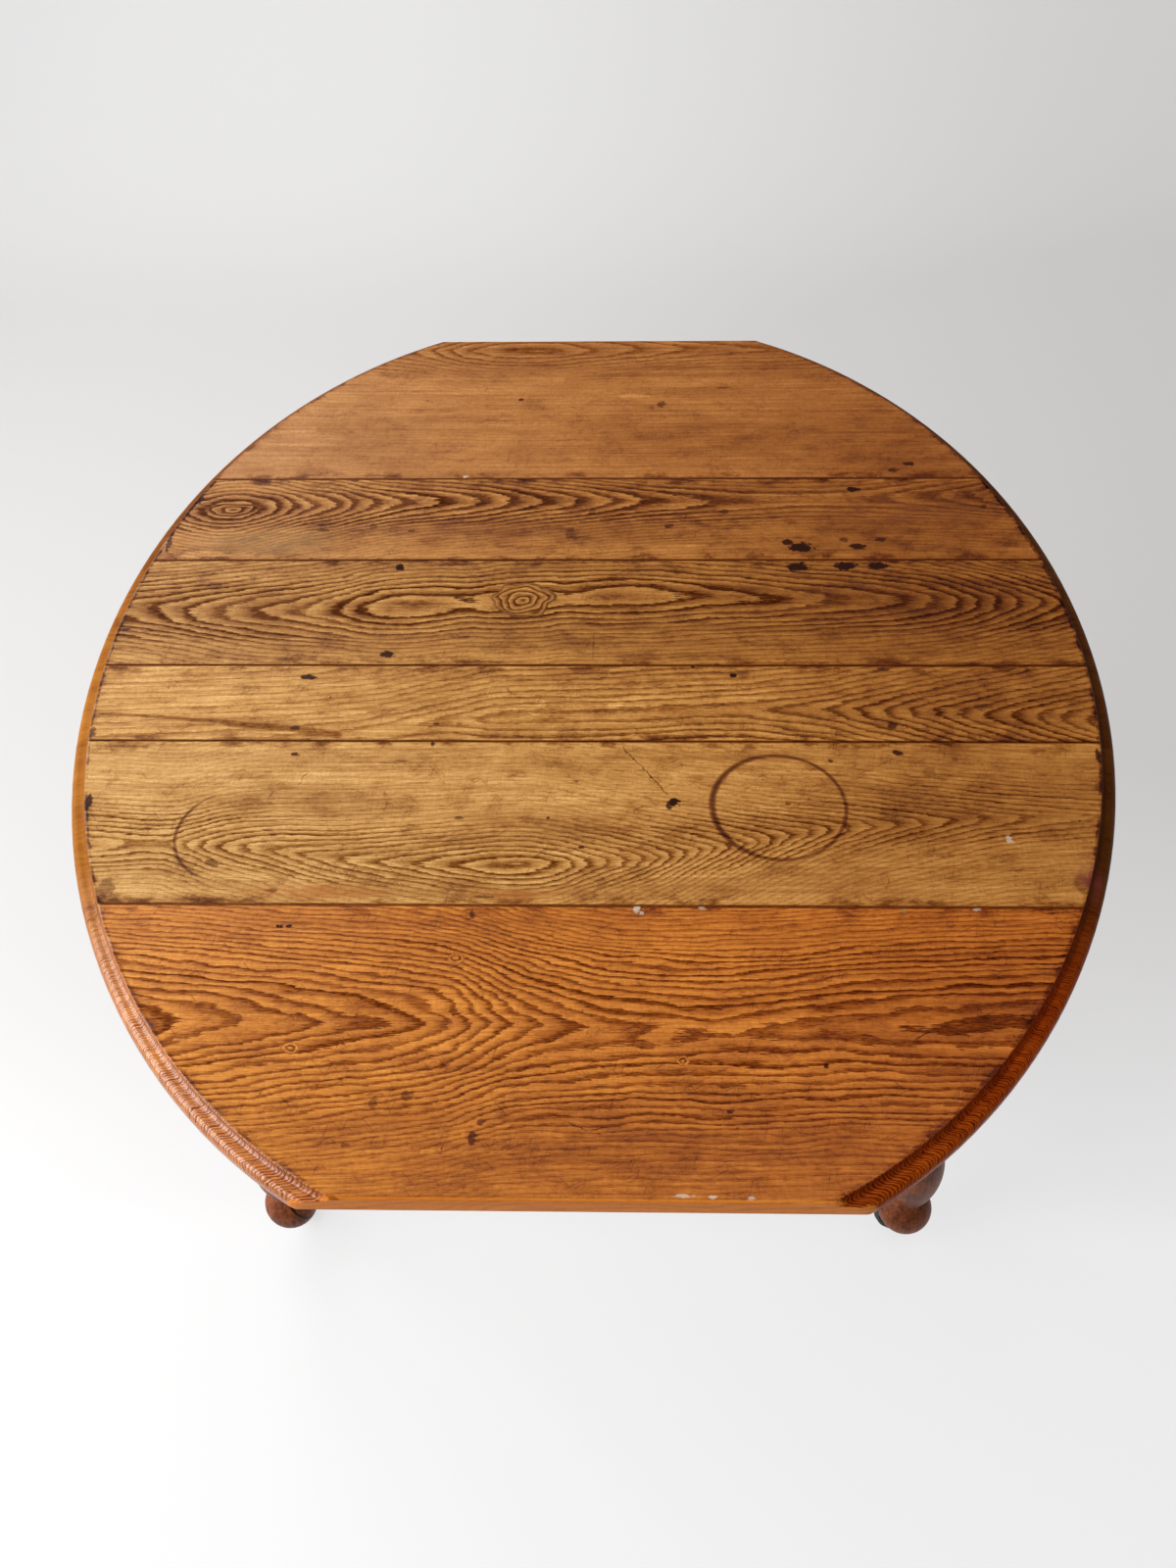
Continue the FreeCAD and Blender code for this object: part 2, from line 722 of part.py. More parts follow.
def stop_peg(name, clearance=0.0):
    """The peg under a slide that meets its keeper when the slide is fully out, or the hole for it."""
    side = side_y[name.split("_")[0]]
    from_face = keeper_from_apron_face + keeper_length + slide_travel + stop_peg_radius + stop_clearance
    place = Vector(slide_x[name], side * (long_apron_outer - from_face), 0)
    low = Vector(place.x, place.y, slide_bottom - stop_peg_drop)
    return rod(stop_peg_radius + clearance, low, Vector(place.x, place.y, slide_top))


def slide(name):
    """A pull-out slide, pushed in until its outer end is flush with the apron."""
    side = side_y[name.split("_")[0]]
    ends = (side * long_apron_outer, side * (long_apron_outer - slide_length))
    solid = block(between(slide_x[name], slide_width), ends, (slide_bottom, slide_top))
    lower = [
        e for e in solid.Edges
        if all(abs(v.Z - slide_bottom) < 0.01 and abs(v.Y - ends[0]) < 0.01 for v in e.Vertexes)
    ]
    return solid.makeChamfer(slide_end_bevel, lower).cut(stop_peg(name, stop_peg_clearance))


def keeper_screws(name, clearance=0.0):
    """The two screws that hold a keeper under the top, or the holes for them."""
    side = side_y[name.split("_")[0]]
    low = slide_bottom - slide_side_clearance - keeper_floor
    y = side * (long_apron_outer - keeper_from_apron_face - keeper_length / 2)
    spread = slide_width + 2 * slide_side_clearance + keeper_wall
    heads = [Vector(x, y, low) for x in between(slide_x[name], spread)]
    return [screw(head, head + Vector(0, 0, 1), underside - low + screw_grip, clearance) for head in heads]


def keeper(name):
    """A keeper: a block with a channel for its slide, screwed to the underside of the top."""
    side = side_y[name.split("_")[0]]
    low = slide_bottom - slide_side_clearance - keeper_floor
    channel = slide_width + 2 * slide_side_clearance
    near_face = side * (long_apron_outer - keeper_from_apron_face)
    ends = (near_face, near_face - side * keeper_length)
    solid = block(between(slide_x[name], channel + 2 * keeper_wall), ends, (low, underside))
    opening = block(between(slide_x[name], channel), ends, (low + keeper_floor, underside))
    return solid.cut([opening] + keeper_screws(name, screw_clearance))


def top_screw_holes():
    """Every hole for a screw that comes up into the boards from the frame."""
    holes = []
    for way_x in (-1, 1):
        for way_y in (-1, 1):
            holes.append(corner_screw_up(way_x, way_y, screw_clearance))
            holes.append(button_screw(way_x, way_y, screw_clearance))
    for name in slide_x:
        holes += keeper_screws(name, screw_clearance)
    return holes


def caster_place(name):
    """The turn and shift that bring a caster, built trailing along +X, under its leg."""
    way_y, way_x = name.split("_")
    place = Vector(side_x[way_x] * leg_x, side_y[way_y] * leg_y, 0)
    return Placement(place, Rotation(Vector(0, 0, 1), caster_angle[name]))


def caster_sleeve():
    """The metal sleeve in the foot that the caster's stem turns in."""
    start = Vector(0, 0, caster_height - sleeve_flange_height)
    whole = sleeve_length + sleeve_flange_height
    flange = Part.makeCylinder(sleeve_flange_radius, sleeve_flange_height, start)
    tube = Part.makeCylinder(sleeve_radius, whole, start)
    bore = Part.makeCylinder(stem_radius + stem_clearance, whole, start)
    return flange.fuse(tube).cut(bore).removeSplitter()


def caster_fork():
    """The swivelling fork: a stem, a round cap and two cheeks that carry the axle."""
    cap_top = caster_height - sleeve_flange_height - fork_gap
    cap_low = cap_top - fork_cap_height
    fork = Part.makeCylinder(fork_cap_radius, fork_cap_height, Vector(0, 0, cap_low))
    fork = fork.fuse(Part.makeCylinder(stem_radius, stem_length + fork_cap_height, Vector(0, 0, cap_low)))
    for way in (-1, 1):
        near = way * (wheel_width / 2 + cheek_gap)
        far = near + way * cheek_thickness
        start = min(near, far)
        eye = Vector(caster_trail, start, wheel_radius)
        points = [
            Vector(-cheek_root / 2, start, cap_low),
            Vector(cheek_root / 2, start, cap_low),
            Vector(caster_trail + cheek_eye_radius, start, wheel_radius),
            Vector(caster_trail - cheek_eye_radius, start, wheel_radius),
        ]
        plate = Part.Face(Part.makePolygon(points + points[:1])).extrude(Vector(0, cheek_thickness, 0))
        disc = Part.makeCylinder(cheek_eye_radius, cheek_thickness, eye, Vector(0, 1, 0))
        fork = fork.fuse(plate.fuse(disc))
    across = wheel_width / 2 + cheek_gap + cheek_thickness
    ends = [Vector(caster_trail, way * across, wheel_radius) for way in (-1, 1)]
    return fork.cut(rod(axle_radius + axle_fixed_clearance, *ends)).removeSplitter()


def caster_axle():
    """The riveted axle of a caster's wheel."""
    across = wheel_width / 2 + cheek_gap + cheek_thickness
    ends = [Vector(caster_trail, way * across, wheel_radius) for way in (-1, 1)]
    out = Vector(0, axle_head_height, 0)
    axle = rod(axle_radius, *ends)
    axle = axle.fuse(rod(axle_head_radius, ends[0] - out, ends[0]))
    return axle.fuse(rod(axle_head_radius, ends[1], ends[1] + out)).removeSplitter()


def caster_wheel():
    """A caster's wheel, with rounded edges and a low hub on each side."""
    half = Vector(0, wheel_width / 2, 0)
    centre = Vector(caster_trail, 0, wheel_radius)
    tyre = rod(wheel_radius, centre - half, centre + half)
    rims = [e for e in tyre.Edges if len(e.Vertexes) == 1]
    tyre = tyre.makeFillet(wheel_edge_radius, rims)
    hub_half = half + Vector(0, wheel_hub_height, 0)
    tyre = tyre.fuse(rod(wheel_hub_radius, centre - hub_half, centre + hub_half))
    return tyre.cut(rod(axle_radius + axle_running_clearance, centre - hub_half, centre + hub_half))


def placed(solid, name):
    """A copy of a caster's piece under the named leg."""
    copy = solid.copy()
    copy.Placement = caster_place(name).multiply(copy.Placement)
    return copy


def top_parts():
    """The boards, leaves and dowels of the top."""
    blank = oval_blank()
    boards = {
        "top_board_1": outer_board(blank, 1, board_joint_1_2),
        "top_board_2": inner_board(blank, board_joint_1_2, board_joint_2_3),
        "top_board_3": inner_board(blank, board_joint_2_3, board_joint_3_4),
        "top_board_4": outer_board(blank, -1, board_joint_3_4),
    }
    cuts = [dowel(place, dowel_clearance) for place in dowel_places()] + top_screw_holes()
    cuts += [joint_groove(joint) for joint in board_joints]
    parts = {name: board.cut(cuts) for name, board in boards.items()}
    parts["board_dowels"] = [dowel(place) for place in dowel_places()]
    parts["leaf_near"] = leaf(blank, -1)
    parts["leaf_far"] = leaf(blank, 1)
    return parts


def hinge_parts():
    """The hinges, their pins and their screws."""
    parts = {"hinge_pins": [], "hinge_screws_middle": []}
    for side_name, side in side_y.items():
        parts[f"hinge_screws_leaf_{side_name}"] = []
        for end_name, x in hinge_places().items():
            parts[f"hinge_fixed_flap_{side_name}_{end_name}"] = fixed_flap(x, side)
            parts[f"hinge_leaf_flap_{side_name}_{end_name}"] = leaf_flap(x, side)
            parts["hinge_pins"].append(hinge_pin(x, side))
            parts["hinge_screws_middle"] += [hinge_screw(head) for head in fixed_screw_heads(x, side)]
            leaf_screws = [hinge_screw(head) for head in leaf_screw_heads(x, side)]
            parts[f"hinge_screws_leaf_{side_name}"] += leaf_screws
    return parts


def frame_parts():
    """The legs, the aprons and what ties them together and to the top."""
    parts = {"tenon_pegs": [], "corner_block_screws": [], "top_buttons": [], "button_screws": []}
    for side_name, side in side_y.items():
        parts[f"apron_{side_name}"] = long_apron(side)
        for end_name, way in side_x.items():
            parts[f"leg_{side_name}_{end_name}"] = leg(way, side)
            parts[f"corner_block_{side_name}_{end_name}"] = corner_block(way, side)
            parts["tenon_pegs"] += tenon_pegs(way, side)
            for drive in (corner_screw_x, corner_screw_y, corner_screw_up):
                parts["corner_block_screws"].append(drive(way, side))
            parts["top_buttons"].append(button(way, side))
            parts["button_screws"].append(button_screw(way, side))
    for end_name, way in side_x.items():
        parts[f"apron_{end_name}"] = end_apron(way)
    return parts


def slide_parts():
    """The pull-out slides, their stop pegs and their keepers."""
    parts = {"slide_keepers": [], "keeper_screws": []}
    for name in slide_x:
        parts[f"slide_{name}"] = slide(name)
        parts[f"slide_stop_{name}"] = stop_peg(name)
        parts["slide_keepers"].append(keeper(name))
        parts["keeper_screws"] += keeper_screws(name)
    return parts


def caster_parts():
    """The four casters."""
    parts = {"caster_sleeves": []}
    for name in caster_angle:
        parts["caster_sleeves"].append(placed(caster_sleeve(), name))
        parts[f"caster_fork_{name}"] = placed(caster_fork(), name)
        parts[f"caster_axle_{name}"] = placed(caster_axle(), name)
        parts[f"caster_wheel_{name}"] = placed(caster_wheel(), name)
    return parts


os.makedirs("parts", exist_ok=True)
for build in (top_parts, hinge_parts, frame_parts, slide_parts, caster_parts):
    for node, shape in build().items():
        if isinstance(shape, list):
            shape = Part.makeCompound(shape)
        shape.exportStep(f"parts/{node}.step")
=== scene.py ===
import math

import bpy
from mathutils import Matrix, Vector

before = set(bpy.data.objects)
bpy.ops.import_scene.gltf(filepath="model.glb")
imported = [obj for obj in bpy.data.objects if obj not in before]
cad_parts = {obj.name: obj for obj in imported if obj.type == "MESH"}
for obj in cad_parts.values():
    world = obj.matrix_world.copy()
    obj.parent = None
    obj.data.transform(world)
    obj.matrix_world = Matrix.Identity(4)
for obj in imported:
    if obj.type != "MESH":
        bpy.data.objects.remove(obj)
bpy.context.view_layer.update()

# Drop-leaf dining table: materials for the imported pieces, then floor, light and camera.
# Shader coordinates are in millimetres in the table's own frame: boards along x, near leaf at -y, z up.

# Sizes of the table top that its materials follow, in millimetres
top_height = 745.0
rim_half_width = 487.0
rim_half_length = 603.5
moulding_width = 15.5
rim_inner_x = rim_half_width - moulding_width
rim_inner_y = rim_half_length - moulding_width
end_y = 543.0
end_upper_radius = 4.0
seam_y = 282.0
joint_ys = (150.5, -0.5, -98.0)

# The floor and the wall that it sweeps up into, in metres
floor_reach = 9.0
wall_y = 2.6
wall_height = 1.6
sweep_radius = 0.8
sweep_steps = 16

# The photograph's camera: place in metres, angles in degrees, lens and sensor in millimetres
camera_place = (0.0295, -0.9966, 1.7617)
camera_pitch = 50.164
camera_turn = 2.079
camera_roll = 1.435
camera_lens = 33.893
sensor_width = 36.0

# What one layer of old varnish and dirt lets through, and the colours of ink, dirt and paint marks
BROWN = (0.62, 0.50, 0.33)
STAIN = (0.026, 0.008, 0.004)
GRIME = (0.070, 0.026, 0.009)
PAINT = (0.75, 0.66, 0.52)

# Colours of the top's bare underside, of the leaves' straight ends, brightened as a painted highlight, and
# of the moulded rim, lit on the left and darker and redder in painted shade on the right; and how far the
# boards' own colours are shifted towards the left and the right of the table: a painted sheen on the left
# and painted shade on the right
BARE = (0.30, 0.165, 0.075)
BARE_DARK = (0.135, 0.0627, 0.0225)
END_WOOD_HIGHLIT = (0.86, 0.27, 0.040)
RIM_NEAR_LEFT_LIT = (0.660, 0.242, 0.026)
RIM_NEAR_RIGHT_SHADED = (0.680, 0.118, 0.007)
RIM_FAR_LEFT_LIT = (0.400, 0.155, 0.020)
RIM_FAR_RIGHT_SHADED = (0.170, 0.055, 0.008)
LEFT_PAINTED_SHEEN = (1.0, 1.09, 1.13)
RIGHT_PAINTED_SHADE = (1.0, 0.90, 0.74)

# Colours of the other woods and of the metals, light and dark
LEG_LIGHT, LEG_DARK = (0.340, 0.095, 0.030), (0.075, 0.016, 0.005)
APRON_LIGHT, APRON_DARK = (0.23, 0.068, 0.024), (0.075, 0.020, 0.008)
INNER_LIGHT, INNER_DARK = (0.40, 0.245, 0.125), (0.22, 0.12, 0.055)
IRON_LIGHT, IRON_DARK = (0.11, 0.085, 0.065), (0.045, 0.032, 0.025)
STEEL_LIGHT, STEEL_DARK = (0.34, 0.31, 0.27), (0.12, 0.09, 0.07)
CASTER_LIGHT, CASTER_DARK = (0.05, 0.047, 0.045), (0.012, 0.011, 0.011)
WHEEL_LIGHT, WHEEL_DARK = (0.035, 0.032, 0.03), (0.010, 0.009, 0.009)

# The rays by which the floor's glow is seen
SEEN_BY = ("Is Camera Ray", "Is Glossy Ray", "Is Transmission Ray")


class Value:
    """A number in a shader, so that sums of shader nodes can be written as arithmetic."""

    def __init__(self, net, socket):
        self.net = net
        self.socket = socket

    def __add__(self, other):
        return self.net.math("ADD", self, other)

    def __sub__(self, other):
        return self.net.math("SUBTRACT", self, other)

    def __rsub__(self, other):
        return self.net.math("SUBTRACT", other, self)

    def __mul__(self, other):
        return self.net.math("MULTIPLY", self, other)

    def __truediv__(self, other):
        return self.net.math("DIVIDE", self, other)

    def __pow__(self, other):
        return self.net.math("POWER", self, other)

    def __abs__(self):
        return self.net.math("ABSOLUTE", self)

    __radd__ = __add__
    __rmul__ = __mul__


class Net:
    """The shader nodes of one material."""

    def __init__(self, name):
        self.material = bpy.data.materials.new(name)
        self.material.use_nodes = True
        self.nodes = self.material.node_tree.nodes
        self.links = self.material.node_tree.links
        self.shader = self.nodes["Principled BSDF"]
        place = self.nodes.new("ShaderNodeTexCoord")
        self.point = self.vector_math("SCALE", place.outputs["Object"], scale=1000.0)
        self.x, self.y, self.z = self.split(self.point)
        self.facing = self.split(place.outputs["Normal"])

    def feed(self, socket, value):
        """Links a shader value to a socket, or sets a plain one on it."""
        if isinstance(value, Value):
            self.links.new(value.socket, socket)
        elif isinstance(value, bpy.types.NodeSocket):
            self.links.new(value, socket)
        else:
            socket.default_value = value

    def math(self, operation, *terms):
        """One sum on numbers."""
        node = self.nodes.new("ShaderNodeMath")
        node.operation = operation
        for socket, term in zip(node.inputs, terms):
            self.feed(socket, term)
        return Value(self, node.outputs[0])

    def vector_math(self, operation, *vectors, scale=None):
        """One sum on vectors, as a socket."""
        node = self.nodes.new("ShaderNodeVectorMath")
        node.operation = operation
        for socket, vector in zip(node.inputs, vectors):
            self.feed(socket, vector)
        if scale is not None:
            node.inputs["Scale"].default_value = scale
        return node.outputs["Value"] if operation in ("LENGTH", "DOT_PRODUCT") else node.outputs["Vector"]

    def split(self, socket):
        """The three parts of a vector."""
        node = self.nodes.new("ShaderNodeSeparateXYZ")
        self.links.new(socket, node.inputs[0])
        return [Value(self, out) for out in node.outputs]

    def vector(self, x, y, z):
        """A vector from its three parts."""
        node = self.nodes.new("ShaderNodeCombineXYZ")
        for socket, value in zip(node.inputs, (x, y, z)):
            self.feed(socket, value)
        return node.outputs[0]

    def noise(self, x, y, z, detail=2.0, roughness=0.5):
        """Smooth noise from 0 to 1, about 0.5 on average."""
        node = self.nodes.new("ShaderNodeTexNoise")
        node.inputs["Scale"].default_value = 1.0
        node.inputs["Detail"].default_value = detail
        node.inputs["Roughness"].default_value = roughness
        self.links.new(self.vector(x, y, z), node.inputs["Vector"])
        return Value(self, node.outputs[0])

    def hashed(self, value, seed):
        """A number from 0 to 1 that is the same wherever value is."""
        node = self.nodes.new("ShaderNodeTexWhiteNoise")
        node.noise_dimensions = "2D"
        self.links.new(self.vector(value, seed, 0.0), node.inputs["Vector"])
        return Value(self, node.outputs["Value"])

    def ramp(self, value, start, end, top=1.0):
        """0 up to start, top from end on, and a smooth step between; start may be the larger."""
        node = self.nodes.new("ShaderNodeMapRange")
        node.interpolation_type = "SMOOTHSTEP"
        self.feed(node.inputs["Value"], value)
        self.feed(node.inputs["From Min"], start)
        self.feed(node.inputs["From Max"], end)
        self.feed(node.inputs["To Max"], top)
        return Value(self, node.outputs[0])

    def curve(self, value, points):
        """A smooth curve of value through the points."""
        xs, ys = zip(*points)
        low, rise = min(ys), max(ys) - min(ys) or 1.0
        node = self.nodes.new("ShaderNodeFloatCurve")
        line = node.mapping.curves[0]
        spots = [((x - xs[0]) / (xs[-1] - xs[0]), (y - low) / rise) for x, y in points]
        line.points[0].location = spots[0]
        line.points[1].location = spots[-1]
        for spot in spots[1:-1]:
            line.points.new(*spot)
        for point in line.points:
            point.handle_type = "AUTO_CLAMPED"
        node.mapping.update()
        self.feed(node.inputs["Value"], (value - xs[0]) / (xs[-1] - xs[0]))
        return Value(self, node.outputs[0]) * rise + low

    def through_brown(self, colour, layers):
        """A colour seen through a number of layers of old varnish and dirt."""
        passed = self.vector(*[self.math("POWER", share, layers) for share in BROWN])
        return self.blend(1.0, colour, passed, kind="MULTIPLY")

    def largest(self, values):
        """The largest of some values."""
        total = values[0]
        for value in values[1:]:
            total = self.math("MAXIMUM", total, value)
        return total

    def blend(self, factor, first, second, kind="MIX"):
        """A mix of two colours; each is a plain colour or a socket."""
        node = self.nodes.new("ShaderNodeMix")
        node.data_type = "RGBA"
        node.blend_type = kind
        self.feed(node.inputs[0], factor)
        for socket, colour in ((node.inputs[6], first), (node.inputs[7], second)):
            self.feed(socket, (*colour, 1.0) if isinstance(colour, tuple) else colour)
        return node.outputs[2]

    def bump(self, height, distance, strength=1.0):
        """Fine relief of the surface."""
        node = self.nodes.new("ShaderNodeBump")
        node.inputs["Strength"].default_value = strength
        node.inputs["Distance"].default_value = distance
        self.feed(node.inputs["Height"], height)
        self.links.new(node.outputs[0], self.shader.inputs["Normal"])

    def away(self, point, x, y, wide, deep):
        """Distance from a place as a share of a half width and a half depth."""
        scaled = self.vector_math("MULTIPLY_ADD", point, (1 / wide, 1 / deep, 0), (-x / wide, -y / deep, 0))
        return Value(self, self.vector_math("LENGTH", scaled))

    def spots(self, point, marks, outer, inner, rough_edge=0.0):
        """Round marks, each (x, y, half width, half depth, strength), as one mask."""
        masks = []
        for x, y, wide, deep, strength in marks:
            masks.append(self.ramp(self.away(point, x, y, wide, deep) + rough_edge, outer, inner, strength))
        return self.largest(masks)

    def specks(self, spacing, radius, seed):
        """Small round specks scattered about, in about a third of the cells of the given spacing."""
        node = self.nodes.new("ShaderNodeTexVoronoi")
        node.inputs["Scale"].default_value = 1.0
        self.links.new(self.vector(self.x / spacing, self.y / spacing, seed), node.inputs["Vector"])
        size = self.math("MAXIMUM", self.split(node.outputs["Color"])[0] - 0.6, 0.001)
        return self.ramp(Value(self, node.outputs["Distance"]), size * (radius * 3.0), size * radius)

    def dashes(self, angle, long, wide, seed, start, end):
        """Short fine marks at one angle to the boards, scattered about."""
        along = self.x * math.cos(angle) + self.y * math.sin(angle)
        across = self.y * math.cos(angle) - self.x * math.sin(angle)
        return self.ramp(self.noise(along / long, across / wide, seed, detail=0.0), start, end)

    def scratches(self, point, marks):
        """Straight marks, each (x, y, end x, end y, half width, strength), as one mask."""
        masks = []
        for x, y, end_x, end_y, wide, strength in marks:
            length = math.hypot(end_x - x, end_y - y)
            along = ((end_x - x) / length, (end_y - y) / length, 0)
            across = (-along[1], along[0], 0)
            middle = ((x + end_x) / 2, (y + end_y) / 2, 0)
            offset = self.vector_math("SUBTRACT", point, middle)
            u = abs(Value(self, self.vector_math("DOT_PRODUCT", offset, along)))
            v = abs(Value(self, self.vector_math("DOT_PRODUCT", offset, across)))
            masks.append(self.ramp(u, length / 2, length / 2 - 6) * self.ramp(v, wide, wide * 0.3, strength))
        return self.largest(masks)

    def finish(self, colour, roughness, **constants):
        """Sets the shader's inputs and gives the material."""
        self.feed(self.shader.inputs["Base Color"], colour)
        self.feed(self.shader.inputs["Roughness"], roughness)
        for name, value in constants.items():
            self.shader.inputs[name.replace("_", " ")].default_value = value
        return self.material
